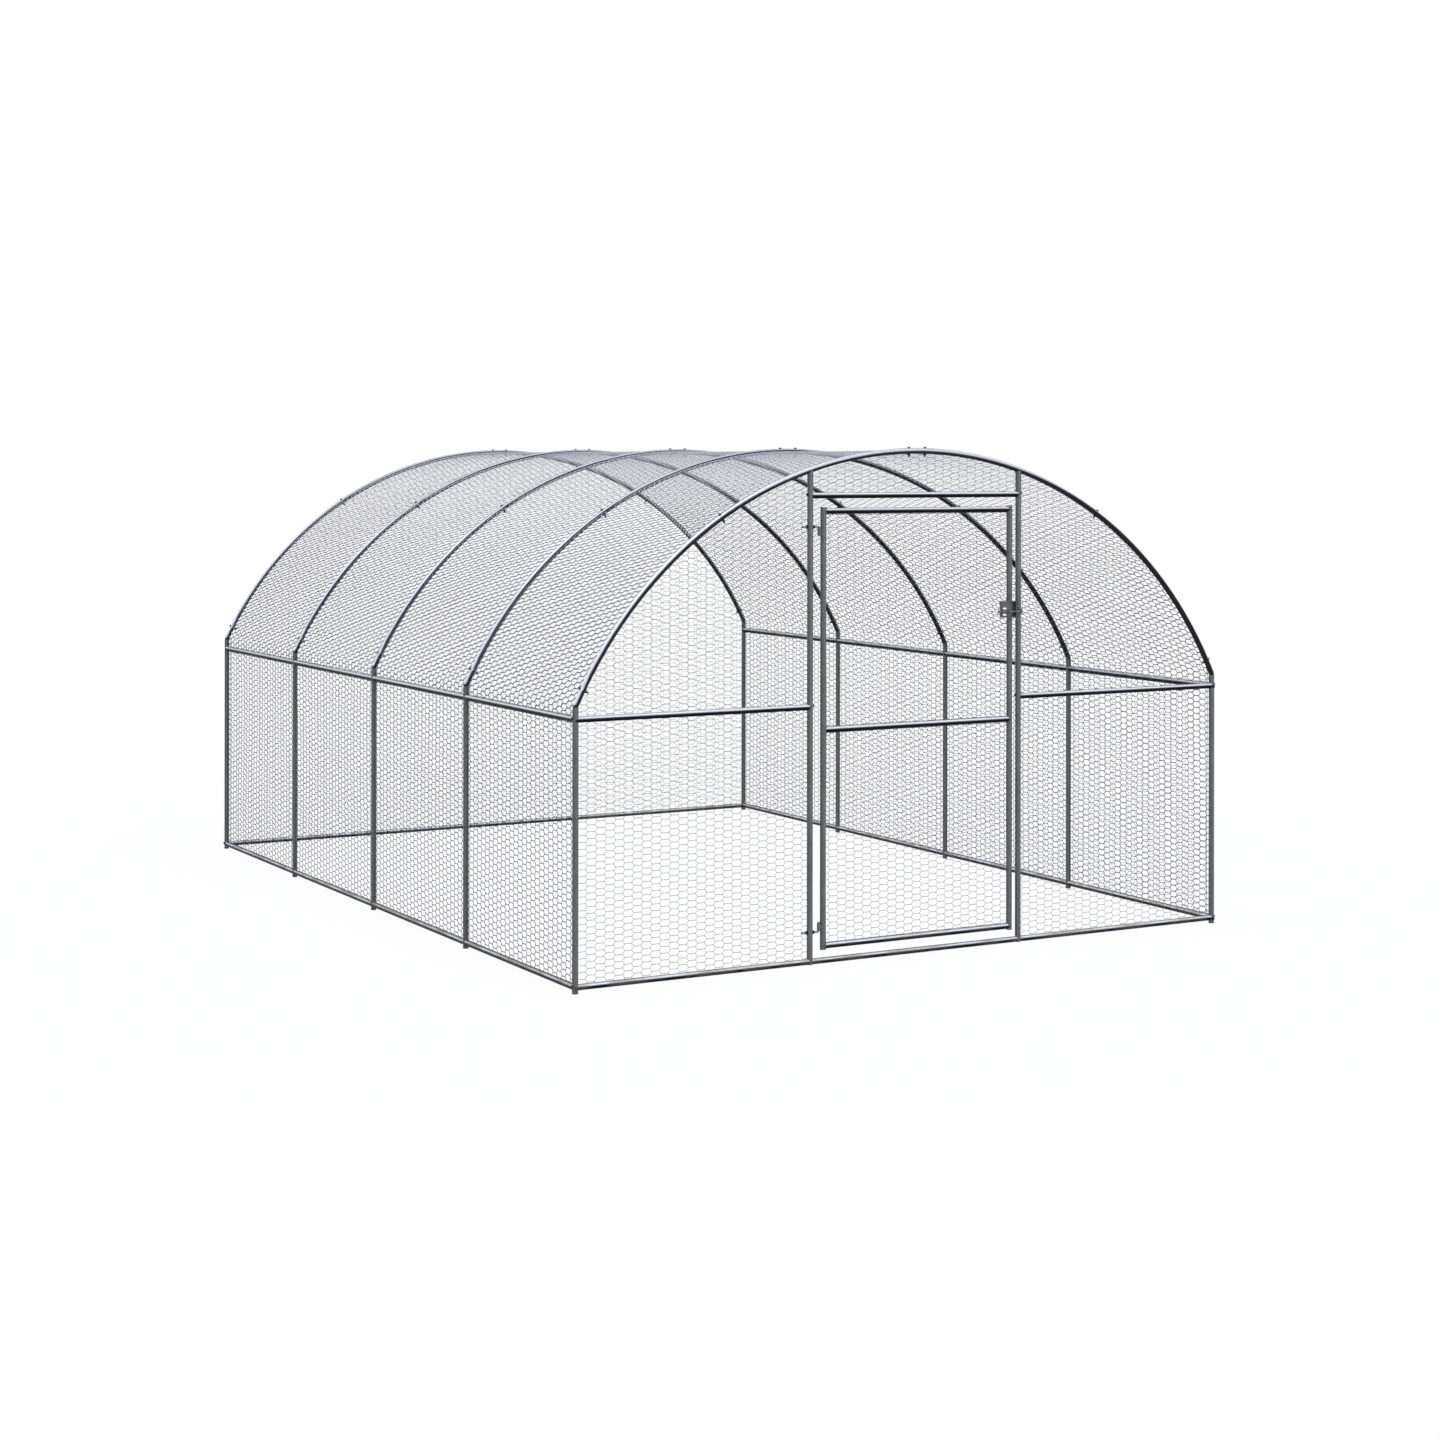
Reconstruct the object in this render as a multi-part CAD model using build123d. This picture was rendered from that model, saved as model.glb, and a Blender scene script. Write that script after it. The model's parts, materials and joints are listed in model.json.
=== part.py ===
"""A walk-in poultry run: tube posts and arches, rails, wire netting and a hinged door.

X runs to the right along the front, Y runs from the front to the back, and Z is up.
All sizes are in millimetres.
"""

from build123d import *
import math
import os

# Overall sizes of the run
RUN_WIDTH = 3000.0  # over the side posts, left to right
RUN_LENGTH = 4000.0  # over the side posts, front to back
BAYS = 4  # equal bays between the arches
RIDGE_HEIGHT = 1985.0  # axis of an arch tube at the ridge
BEND_HEIGHT = 1050.0  # where a post's axis would meet the arch's circle
EAVE_HEIGHT = 1000.0  # axis of the eave rails and the front mid rails
BASE_HEIGHT = 23.0  # axis of the base rails

# Tube stock and the fits between tubes
TUBE_DIAMETER = 23.0
TUBE_WALL = 1.0
SLIP_FIT = 0.15  # radial clearance of a tube that plugs into another
RAIL_CLEARANCE = 0.3  # from a rail's shaped end to its post
WELD_CLEARANCE = 0.1  # between surfaces that a weld bead bridges
BUTT_CLEARANCE = 0.15  # from the end of a butted tube to the joint's middle

# Posts, feet and elbows
FOOT_PLATE = 3.0
FOOT_PLUG_LENGTH = 10.0
ELBOW_BEND_RADIUS = 20.0
ELBOW_POST_PLUG = 95.0  # how far an elbow reaches down into its post
ELBOW_ARCH_PLUG = 94.0  # how far it reaches along the arch past the bend

# Arches: distances along the arch's axis
LOWER_BOLT = 64.0  # from the bend to the lower bolt
MIDDLE_LAP = 25.0  # from the middle bolt up to the butted ends
MIDDLE_PLUG = 60.0  # length of the swaged end inside the lower tube
RIDGE_BOLT = 37.5  # from the ridge to each ridge bolt
RIDGE_COUPLER_REACH = 75.0  # from the ridge to each end of the coupler

# Bolts, nuts and studs
BOLT_DIAMETER = 6.0
BOLT_HOLE_CLEARANCE = 0.2  # radial
BOLT_HEAD_WIDTH = 10.0  # across the flats
BOLT_HEAD_HEIGHT = 4.0
NUT_HEIGHT = 5.0
NUT_BORE_CLEARANCE = 0.1  # radial
HEAD_CLEARANCE = 0.2  # from a head or a nut to the round tube under it
ARCH_BOLT_TAIL = 8.0  # thread that shows past the nut
BOLT_OFFSET = 4.0  # bolts along X pass above the rail's axis, those along Y below it
RAIL_BUSH_LENGTH = 8.0  # threaded bush welded into a rail's end
RAIL_BUSH_DEPTH = 14.0  # from the post's surface to the bush
BOLT_RAIL_TAIL = 3.0  # thread that reaches past the bush

# Back base rail
BACK_RAIL_PIECES = 3
BACK_COUPLER_LENGTH = 120.0

# Doorway
DOOR_POST_SPAN = 978.0  # between the axes of the door posts
LINTEL_HEIGHT = 1812.0
DOOR_PEG_LENGTH = 60.0

# Door leaf
DOOR_FOOT = 64.0
DOOR_TOP = 1767.0
DOOR_BOTTOM_RAIL = 79.0
DOOR_MIDDLE_RAIL = 910.0
DOOR_TOP_RAIL = 1752.0
HINGE_STILE_GAP = 59.0  # from the left door post's axis to the hinge stile's axis
LATCH_STILE_GAP = 43.0  # from the latch stile's axis to the right door post's axis

# Hinges
HINGE_PIN_DIAMETER = 8.0
HINGE_RUNNING_FIT = 0.05  # radial
HINGE_SLEEVE_DIAMETER = 14.0
HINGE_SLEEVE_LENGTH = 28.0
HINGE_HOOK_BEND = 5.0
HINGE_END_PLAY = 0.3
HINGE_PIN_TAIL = 4.0  # pin that shows past its sleeve
HINGE_BOLT_TAIL = 26.0  # thread that shows past the post
HINGE_NUT_WIDTH = 13.0
HINGE_NUT_HEIGHT = 6.5
LOWER_HINGE_HEIGHT = 135.0
UPPER_HINGE_HEIGHT = 1692.0

# Latch
LATCH_HEIGHT = 1342.0
LATCH_WIDTH = 70.0
LATCH_PLATE_BELOW = 23.0  # from the bolt's axis down to the housing's lower edge
LATCH_PLATE_ABOVE = 43.0  # from the bolt's axis up to its upper edge
LATCH_SHEET = 2.5
LATCH_FLANGE = 18.0
LATCH_OVERHANG = 14.0  # from the latch stile's axis to the housing's right end
LATCH_SLOT_LENGTH = 24.0
LATCH_SLOT_HEIGHT = 7.0
LATCH_SLOT_RISE = 12.5  # from the bolt's axis to the middle of each slot in the plate
LATCH_SLOT_MARGIN = 7.0  # from a slot's right end to the latch stile
LATCH_BOLT_DIAMETER = 10.0
LATCH_BOLT_CLEARANCE = 0.35
LATCH_BOLT_STANDOFF = 8.5  # from the housing's plate to the bolt's axis
LATCH_BOLT_NOSE = 16.0  # bolt that shows past the right ear when withdrawn
LATCH_BOLT_TAIL = 15.0  # bolt that shows past the left ear when withdrawn
LATCH_TRAVEL = 14.0
LATCH_PEG_DIAMETER = 8.0
LATCH_PEG_LENGTH = 26.0
KEEPER_CLEARANCE = 1.5  # from the bolt to the staple round it
KEEPER_LENGTH = 8.0
KEEPER_INSET = 3.0  # from the right door post's left edge to the staple

# Netting, drawn with gaps four times as wide and high as the real mesh
NET_COLUMN_PITCH = 153.2
NET_ROW_PITCH = 101.2
NET_TWIST_LENGTH = 116.0
NET_STRAND = 2.4
NET_THICKNESS = 1.2
NET_EDGE = 3.0  # width of the selvedge round a field
NET_CLEARANCE = 0.7  # from a field's edge to the tubes round it
NET_LEAST_GAP = 350.0  # area under which a cut-off gap is left closed
NET_LEAST_SIDE = 2.0
NET_BEND_RADIUS = 60.0  # of a roof net, between the eave rail and the arch
ARC_STEP = 2.0  # degrees between the points that trim gaps along an arch

# Values that follow from the sizes above
TUBE_RADIUS = TUBE_DIAMETER / 2
TUBE_BORE = TUBE_RADIUS - TUBE_WALL
PLUG_RADIUS = TUBE_BORE - SLIP_FIT
PLUG_BORE = PLUG_RADIUS - TUBE_WALL
BOLT_RADIUS = BOLT_DIAMETER / 2
BOLT_HOLE = BOLT_RADIUS + BOLT_HOLE_CLEARANCE
POST_X = RUN_WIDTH / 2 - TUBE_RADIUS
POST_Y = RUN_LENGTH / 2 - TUBE_RADIUS
BAY_LENGTH = 2 * POST_Y / BAYS
ROWS = [-POST_Y + BAY_LENGTH * row for row in range(BAYS + 1)]
FRONT, BACK = ROWS[0], ROWS[-1]
DOOR_POST_X = DOOR_POST_SPAN / 2
HINGE_STILE_X = -DOOR_POST_X + HINGE_STILE_GAP
LATCH_STILE_X = DOOR_POST_X - LATCH_STILE_GAP
HINGE_X = HINGE_STILE_X - TUBE_RADIUS - HINGE_SLEEVE_DIAMETER / 2 - WELD_CLEARANCE
ARCH_RISE = RIDGE_HEIGHT - BEND_HEIGHT
ARCH_RADIUS = (POST_X**2 + ARCH_RISE**2) / (2 * ARCH_RISE)
ARCH_CENTRE = RIDGE_HEIGHT - ARCH_RADIUS
BEND_ANGLE = math.asin(POST_X / ARCH_RADIUS)  # from the ridge to the bend
MIDDLE_ANGLE = BEND_ANGLE / 2
FIELD_INSET = TUBE_RADIUS + NET_CLEARANCE  # from a tube's axis to the edge of a net beside it
END_NET_INSET = FIELD_INSET + NET_THICKNESS / 2  # from the front tubes' axes to the net behind them
END_NET_RADIUS = ARCH_RADIUS - NET_THICKNESS - NET_CLEARANCE  # top edge of a net behind an arch
LATCH_PLATE_Y = FRONT - TUBE_RADIUS - WELD_CLEARANCE - LATCH_SHEET  # front of the housing's plate
LATCH_BOLT_Y = LATCH_PLATE_Y - LATCH_BOLT_STANDOFF
LATCH_RIGHT = LATCH_STILE_X + LATCH_OVERHANG
LATCH_LEFT = LATCH_RIGHT - LATCH_WIDTH
FRONT_REACH = -(LATCH_BOLT_Y - LATCH_PEG_LENGTH)
BACK_REACH = BACK + TUBE_RADIUS + HEAD_CLEARANCE + BOLT_HEAD_HEIGHT
CENTRE_SHIFT = (FRONT_REACH - BACK_REACH) / 2  # puts the origin under the middle of the whole box


def bend_into_arch(bend_radius):
    """The X and Z of the middle of a bend from the posts' line into the arch, and where it joins the arch."""
    x = POST_X - bend_radius
    rise = math.sqrt((ARCH_RADIUS - bend_radius) ** 2 - x**2)
    return x, ARCH_CENTRE + rise, math.atan2(x, rise)


ELBOW_CENTRE_X, ELBOW_CENTRE_Z, ELBOW_ANGLE = bend_into_arch(ELBOW_BEND_RADIUS)
NET_CENTRE_X, NET_CENTRE_Z, NET_ANGLE = bend_into_arch(NET_BEND_RADIUS)
POST_TOP = ELBOW_CENTRE_Z  # posts end where their elbows start to bend


def one_solid(shape):
    """The only solid of a shape that a cut or a fuse has made."""
    (solid,) = shape.solids()
    return solid


def bar(start, end, radius):
    """A round bar between two points."""
    run = Vector(*end) - Vector(*start)
    return Solid.make_cylinder(radius, run.length, Plane(origin=start, z_dir=run))


def block(low, high):
    """A box between two corners."""
    size = [b - a for a, b in zip(low, high)]
    return Solid.make_box(*size, Plane(origin=low))


def hexagon_bar(width, height, plane):
    """A hexagonal bar, as of a bolt's head or a nut, standing on a plane."""
    corner = width / math.sqrt(3)
    points = [(corner * math.cos(turn), corner * math.sin(turn), 0) for turn in sixths()]
    outline = Wire.make_polygon([plane.from_local_coords(point) for point in points], close=True)
    return Solid.extrude(Face(outline), plane.z_dir * height)


def sixths():
    """The six directions of a hexagon's corners, in radians."""
    return [math.radians(60 * step) for step in range(6)]


def arch_point(angle, radius=None):
    """A point on the arch's circle; the angle, in radians, is from the ridge towards +X."""
    radius = ARCH_RADIUS if radius is None else radius
    return radius * math.sin(angle), ARCH_CENTRE + radius * math.cos(angle)


def arch_bar(start, end, radius, y=0.0):
    """A round bar along the arch between two angles, with start below end."""
    along = Plane(
        origin=(0, y, ARCH_CENTRE),
        x_dir=(math.sin(start), 0, math.cos(start)),
        z_dir=(0, 1, 0),
    )
    return Solid.make_torus(ARCH_RADIUS, radius, along, major_angle=math.degrees(end - start))


def radial_plane(angle, y, radius):
    """A plane across the arch's radius, facing outwards."""
    x, z = arch_point(angle, radius)
    return Plane(origin=(x, y, z), x_dir=(0, 1, 0), z_dir=(math.sin(angle), 0, math.cos(angle)))


def radial_hole(angle, radius=BOLT_HOLE):
    """The hole of an arch bolt."""
    inner = radial_plane(angle, 0, ARCH_RADIUS - TUBE_DIAMETER)
    return Solid.make_cylinder(radius, 2 * TUBE_DIAMETER, inner)


def cross_hole(x, y, z, direction):
    """The hole of a rail bolt through a post: direction is 'X' or 'Y'."""
    reach = TUBE_DIAMETER
    if direction == "X":
        return bar((x - reach, y, z + BOLT_OFFSET), (x + reach, y, z + BOLT_OFFSET), BOLT_HOLE)
    return bar((x, y - reach, z - BOLT_OFFSET), (x, y + reach, z - BOLT_OFFSET), BOLT_HOLE)


def mirrored(solids):
    """The same pieces on the right-hand side."""
    return [solid.mirror(Plane.YZ) for solid in solids]


def moved_along(solid, y):
    """A copy of a piece, moved along the run."""
    return solid.moved(Location((0, y, 0)))


def left_post_holes(row, height):
    """Rail holes of one left post: side rails everywhere, front and back rails where they are."""
    holes = [cross_hole(-POST_X, ROWS[row], height, "Y")]
    has_front_rail = row == 0
    has_back_rail = row == BAYS and height == BASE_HEIGHT
    if has_front_rail or has_back_rail:
        holes.append(cross_hole(-POST_X, ROWS[row], height, "X"))
    return holes


def left_post(row):
    """A side post, cut square at both ends."""
    foot = (-POST_X, ROWS[row], FOOT_PLATE)
    top = (-POST_X, ROWS[row], POST_TOP)
    holes = left_post_holes(row, BASE_HEIGHT) + left_post_holes(row, EAVE_HEIGHT)
    return one_solid(bar(foot, top, TUBE_RADIUS).cut(bar(foot, top, TUBE_BORE), *holes))


def left_foot_plug(row):
    """A plastic plug with a plate that the post stands on."""
    centre = (-POST_X, ROWS[row])
    plate = bar((*centre, 0), (*centre, FOOT_PLATE), TUBE_RADIUS)
    plug = bar((*centre, FOOT_PLATE), (*centre, FOOT_PLATE + FOOT_PLUG_LENGTH), PLUG_RADIUS)
    return one_solid(plate.fuse(plug))


def left_elbow_bar(radius):
    """A solid bar along an elbow: up the post, round the bend and on along the arch."""
    low = (-POST_X, 0, POST_TOP - ELBOW_POST_PLUG)
    straight = bar(low, (-POST_X, 0, ELBOW_CENTRE_Z), radius)
    bend_plane = Plane(origin=(-ELBOW_CENTRE_X, 0, ELBOW_CENTRE_Z), x_dir=(-1, 0, 0), z_dir=(0, 1, 0))
    bend_turn = 90 - math.degrees(ELBOW_ANGLE)
    bend = Solid.make_torus(ELBOW_BEND_RADIUS, radius, bend_plane, major_angle=bend_turn)
    upper = arch_bar(-ELBOW_ANGLE, -BEND_ANGLE + ELBOW_ARCH_PLUG / ARCH_RADIUS, radius)
    return one_solid(straight.fuse(bend, upper))


def left_elbows():
    """The elbows of the left side, each with the holes of its own post."""
    plain = left_elbow_bar(PLUG_RADIUS).cut(left_elbow_bar(PLUG_BORE), radial_hole(-LOWER_BOLT_ANGLE))
    elbows = []
    for row, y in enumerate(ROWS):
        elbow = moved_along(one_solid(plain), y)
        elbows.append(one_solid(elbow.cut(*left_post_holes(row, EAVE_HEIGHT))))
    return elbows


LOWER_BOLT_ANGLE = BEND_ANGLE - LOWER_BOLT / ARCH_RADIUS
RIDGE_BOLT_ANGLE = RIDGE_BOLT / ARCH_RADIUS
BUTT_ANGLE = MIDDLE_ANGLE - MIDDLE_LAP / ARCH_RADIUS
ARCH_BOLT_ANGLES = [
    side * angle for angle in (LOWER_BOLT_ANGLE, MIDDLE_ANGLE, RIDGE_BOLT_ANGLE) for side in (-1, 1)
]


def left_arch_tubes():
    """The lower and the upper tube of an arch's left half, at Y = 0."""
    butt = BUTT_CLEARANCE / ARCH_RADIUS
    foot = -ELBOW_ANGLE
    lower_end = -BUTT_ANGLE - butt
    lower = arch_bar(foot, lower_end, TUBE_RADIUS).cut(
        arch_bar(foot, lower_end, TUBE_BORE), radial_hole(-LOWER_BOLT_ANGLE), radial_hole(-MIDDLE_ANGLE)
    )
    upper_start = -BUTT_ANGLE + butt
    plug_start = -BUTT_ANGLE - MIDDLE_PLUG / ARCH_RADIUS
    outside = arch_bar(upper_start, -butt, TUBE_RADIUS).fuse(arch_bar(plug_start, upper_start, PLUG_RADIUS))
    neck = upper_start + TUBE_DIAMETER / ARCH_RADIUS
    inside = arch_bar(neck, -butt, TUBE_BORE).fuse(arch_bar(plug_start, neck, PLUG_BORE))
    upper = outside.cut(inside, radial_hole(-MIDDLE_ANGLE), radial_hole(-RIDGE_BOLT_ANGLE))
    return [one_solid(lower), one_solid(upper)]


def ridge_coupler():
    """The tube inside the ridge joint of an arch."""
    reach = RIDGE_COUPLER_REACH / ARCH_RADIUS
    return one_solid(
        arch_bar(-reach, reach, PLUG_RADIUS).cut(
            arch_bar(-reach, reach, PLUG_BORE), radial_hole(-RIDGE_BOLT_ANGLE), radial_hole(RIDGE_BOLT_ANGLE)
        )
    )


def arch_bolt(angle, y):
    """A bolt across an arch tube, with its head outside."""
    head_seat = ARCH_RADIUS + TUBE_RADIUS + HEAD_CLEARANCE
    tip = ARCH_RADIUS - TUBE_RADIUS - HEAD_CLEARANCE - NUT_HEIGHT - ARCH_BOLT_TAIL
    head = hexagon_bar(BOLT_HEAD_WIDTH, BOLT_HEAD_HEIGHT, radial_plane(angle, y, head_seat))
    shank = Solid.make_cylinder(BOLT_RADIUS, head_seat - tip, radial_plane(angle, y, tip))
    return one_solid(head.fuse(shank))


def arch_nut(angle, y):
    """The nut inside the arch."""
    seat = ARCH_RADIUS - TUBE_RADIUS - HEAD_CLEARANCE - NUT_HEIGHT
    plane = radial_plane(angle, y, seat)
    hole = Solid.make_cylinder(BOLT_RADIUS + NUT_BORE_CLEARANCE, NUT_HEIGHT, plane)
    return one_solid(hexagon_bar(BOLT_HEAD_WIDTH, NUT_HEIGHT, plane).cut(hole))


def rail(start, end, offset, bushes=(True, True), crossing=()):
    """A tube between two posts, its ends shaped to them, with a threaded bush in each bolted end.

    The offset is the bolt's height over the rail's axis, and crossing lists bars that the ends clear.
    """
    start, end = Vector(*start), Vector(*end)
    along = (end - start).normalized()
    cuts = list(crossing)
    bore_from, bore_to = start, end
    for post, inwards, bush in ((start, along, bushes[0]), (end, -along, bushes[1])):
        if not bush:
            continue
        reach = Vector(0, 0, TUBE_DIAMETER)
        cuts.append(bar(post - reach, post + reach, TUBE_RADIUS + RAIL_CLEARANCE))
        outer = post + inwards * (TUBE_RADIUS + RAIL_BUSH_DEPTH)
        inner = outer + inwards * RAIL_BUSH_LENGTH
        cuts.append(bar(post, outer, TUBE_BORE))
        lift = Vector(0, 0, offset)
        cuts.append(bar(post + lift, inner + inwards + lift, BOLT_RADIUS + NUT_BORE_CLEARANCE))
        if post is start:
            bore_from = inner
        else:
            bore_to = inner
    cuts.append(bar(bore_from, bore_to, TUBE_BORE))
    return one_solid(bar(start, end, TUBE_RADIUS).cut(*cuts))


RAIL_BOLT_REACH = TUBE_RADIUS + RAIL_BUSH_DEPTH + RAIL_BUSH_LENGTH + BOLT_RAIL_TAIL  # from a post's axis


def rail_bolt(x, y, z, inwards):
    """A bolt through a post into a rail's end; inwards is the unit vector from post to rail."""
    inwards = Vector(*inwards)
    axis = Vector(x, y, z + (BOLT_OFFSET if abs(inwards.X) > abs(inwards.Y) else -BOLT_OFFSET))
    seat = axis - inwards * (TUBE_RADIUS + HEAD_CLEARANCE)
    head = hexagon_bar(BOLT_HEAD_WIDTH, BOLT_HEAD_HEIGHT, Plane(origin=seat, z_dir=-inwards))
    return one_solid(head.fuse(bar(seat, axis + inwards * RAIL_BOLT_REACH, BOLT_RADIUS)))


def rail_stud(x, y, z, direction):
    """A threaded rod through a post into the rails on both sides of it."""
    if direction == "X":
        axis, along = Vector(x, y, z + BOLT_OFFSET), Vector(1, 0, 0)
    else:
        axis, along = Vector(x, y, z - BOLT_OFFSET), Vector(0, 1, 0)
    return bar(axis - along * RAIL_BOLT_REACH, axis + along * RAIL_BOLT_REACH, BOLT_RADIUS)


def crossing_bar(x, y, z):
    """The space of a rail along X that a side rail clears at a corner post."""
    towards = -math.copysign(TUBE_DIAMETER * 2, x)
    return bar((x, y, z), (x + towards, y, z), TUBE_RADIUS + RAIL_CLEARANCE)


def left_side_rails(height):
    """The rails of the left side at one height, one to a bay."""
    rails = []
    for bay in range(BAYS):
        crossing = []
        if bay == 0:
            crossing.append(crossing_bar(-POST_X, FRONT, height))
        if bay == BAYS - 1 and height == BASE_HEIGHT:
            crossing.append(crossing_bar(-POST_X, BACK, height))
        start = (-POST_X, ROWS[bay], height)
        end = (-POST_X, ROWS[bay + 1], height)
        rails.append(rail(start, end, -BOLT_OFFSET, crossing=crossing))
    return rails


def front_rail(left, right, height):
    """A rail along the front between two posts."""
    return rail((left, FRONT, height), (right, FRONT, height), BOLT_OFFSET)


def back_rails():
    """The back base rail, in equal pieces that butt together."""
    piece = 2 * POST_X / BACK_RAIL_PIECES
    rails = []
    for index in range(BACK_RAIL_PIECES):
        first, last = index == 0, index == BACK_RAIL_PIECES - 1
        start = -POST_X + piece * index + (0 if first else BUTT_CLEARANCE)
        end = -POST_X + piece * (index + 1) - (0 if last else BUTT_CLEARANCE)
        rails.append(
            rail((start, BACK, BASE_HEIGHT), (end, BACK, BASE_HEIGHT), BOLT_OFFSET, bushes=(first, last))
        )
    return rails


def back_couplers():
    """The tubes inside the joints of the back base rail."""
    couplers = []
    for index in range(1, BACK_RAIL_PIECES):
        joint = -POST_X + 2 * POST_X / BACK_RAIL_PIECES * index
        start = (joint - BACK_COUPLER_LENGTH / 2, BACK, BASE_HEIGHT)
        end = (joint + BACK_COUPLER_LENGTH / 2, BACK, BASE_HEIGHT)
        couplers.append(one_solid(bar(start, end, PLUG_RADIUS).cut(bar(start, end, PLUG_BORE))))
    return couplers


def under_front_arch(x, z_low, radius, clearance):
    """An upright bar at the front whose top is shaped to the underside of the front arch."""
    angle = math.asin(x / ARCH_RADIUS)
    margin = TUBE_DIAMETER * 2 / ARCH_RADIUS
    arch_space = arch_bar(angle - margin, angle + margin, TUBE_RADIUS + clearance, FRONT)
    upright = bar((x, FRONT, z_low), (x, FRONT, arch_point(angle)[1]), radius)
    pieces = upright.cut(arch_space).solids()
    return min(pieces, key=lambda piece: piece.center().Z)


def door_post(x, hinge_heights):
    """A door post, from the base rail up to the front arch."""
    foot = BASE_HEIGHT - TUBE_RADIUS
    holes = [cross_hole(x, FRONT, height, "X") for height in (BASE_HEIGHT, EAVE_HEIGHT, LINTEL_HEIGHT)]
    reach = TUBE_DIAMETER
    for height in hinge_heights:
        hinge_hole = HINGE_PIN_DIAMETER / 2 + BOLT_HOLE_CLEARANCE
        holes.append(bar((x - reach, FRONT, height), (x + reach, FRONT, height), hinge_hole))
    bore = bar((x, FRONT, foot), (x, FRONT, RIDGE_HEIGHT), TUBE_BORE)
    return one_solid(under_front_arch(x, foot, TUBE_RADIUS, RAIL_CLEARANCE).cut(bore, *holes))


def door_post_peg(x):
    """The stub under the front arch that a door post's top fits over."""
    top = arch_point(math.asin(x / ARCH_RADIUS))[1] - TUBE_RADIUS
    return under_front_arch(x, top - DOOR_PEG_LENGTH, PLUG_RADIUS, WELD_CLEARANCE)


def hinge_hook(height, upwards):
    """A threaded bolt through the left door post that turns up or down into a hinge pin."""
    radius = HINGE_PIN_DIAMETER / 2
    tail = -DOOR_POST_X - TUBE_RADIUS - HINGE_BOLT_TAIL
    pin_length = HINGE_END_PLAY + HINGE_SLEEVE_LENGTH + HINGE_PIN_TAIL
    shank = bar((tail, FRONT, height), (HINGE_X - HINGE_HOOK_BEND, FRONT, height), radius)
    corner = (HINGE_X - HINGE_HOOK_BEND, FRONT, height + upwards * HINGE_HOOK_BEND)
    bend_plane = Plane(origin=corner, x_dir=(0, 0, -upwards), z_dir=(0, -upwards, 0))
    bend = Solid.make_torus(HINGE_HOOK_BEND, radius, bend_plane, major_angle=90)
    pin_root = height + upwards * HINGE_HOOK_BEND
    pin = bar((HINGE_X, FRONT, pin_root), (HINGE_X, FRONT, pin_root + upwards * pin_length), radius)
    return one_solid(shank.fuse(bend, pin))


def hinge_sleeve(height, upwards):
    """A sleeve on the door that turns on a hinge pin."""
    root = height + upwards * (HINGE_HOOK_BEND + HINGE_END_PLAY)
    ends = (HINGE_X, FRONT, root), (HINGE_X, FRONT, root + upwards * HINGE_SLEEVE_LENGTH)
    bore = HINGE_PIN_DIAMETER / 2 + HINGE_RUNNING_FIT
    return one_solid(bar(*ends, HINGE_SLEEVE_DIAMETER / 2).cut(bar(*ends, bore)))


def hinge_nuts(height):
    """The two nuts that clamp a hinge hook to the door post."""
    nuts = []
    for side in (-1, 1):
        seat = (-DOOR_POST_X + side * (TUBE_RADIUS + HEAD_CLEARANCE), FRONT, height)
        plane = Plane(origin=seat, z_dir=(side, 0, 0))
        hole = Solid.make_cylinder(HINGE_PIN_DIAMETER / 2 + NUT_BORE_CLEARANCE, HINGE_NUT_HEIGHT, plane)
        nuts.append(one_solid(hexagon_bar(HINGE_NUT_WIDTH, HINGE_NUT_HEIGHT, plane).cut(hole)))
    return nuts


def door_stile(x):
    """An upright tube of the door."""
    ends = (x, FRONT, DOOR_FOOT), (x, FRONT, DOOR_TOP)
    return one_solid(bar(*ends, TUBE_RADIUS).cut(bar(*ends, TUBE_BORE)))


def door_rail(height):
    """A cross tube of the door, its ends shaped to the stiles."""
    ends = (HINGE_STILE_X, FRONT, height), (LATCH_STILE_X, FRONT, height)
    low, high = height - TUBE_DIAMETER, height + TUBE_DIAMETER
    stiles = [
        bar((x, FRONT, low), (x, FRONT, high), TUBE_RADIUS + WELD_CLEARANCE)
        for x in (HINGE_STILE_X, LATCH_STILE_X)
    ]
    return one_solid(bar(*ends, TUBE_RADIUS).cut(bar(*ends, TUBE_BORE), *stiles))


def latch_bar(left, right, radius):
    """A round bar on the latch bolt's axis."""
    return bar((left, LATCH_BOLT_Y, LATCH_HEIGHT), (right, LATCH_BOLT_Y, LATCH_HEIGHT), radius)


def latch_housing():
    """A folded tray in front of the latch stile, with an ear at each end for the bolt and two slots."""
    low, high = LATCH_HEIGHT - LATCH_PLATE_BELOW, LATCH_HEIGHT + LATCH_PLATE_ABOVE
    front, back = LATCH_PLATE_Y - LATCH_FLANGE, LATCH_PLATE_Y + LATCH_SHEET
    outside = block((LATCH_LEFT, front, low), (LATCH_RIGHT, back, high))
    hollow = block(
        (LATCH_LEFT + LATCH_SHEET, front, low + LATCH_SHEET),
        (LATCH_RIGHT - LATCH_SHEET, LATCH_PLATE_Y, high - LATCH_SHEET),
    )
    bolt_space = latch_bar(LATCH_LEFT, LATCH_RIGHT, LATCH_BOLT_DIAMETER / 2 + LATCH_BOLT_CLEARANCE)
    slot_right = LATCH_STILE_X - TUBE_RADIUS - LATCH_SLOT_MARGIN
    slots = []
    for side in (-1, 1):
        slot_low = LATCH_HEIGHT + side * LATCH_SLOT_RISE - LATCH_SLOT_HEIGHT / 2
        slot_end = (slot_right, back, slot_low + LATCH_SLOT_HEIGHT)
        slots.append(block((slot_right - LATCH_SLOT_LENGTH, LATCH_PLATE_Y, slot_low), slot_end))
    return one_solid(outside.cut(hollow, bolt_space, *slots))


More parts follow.
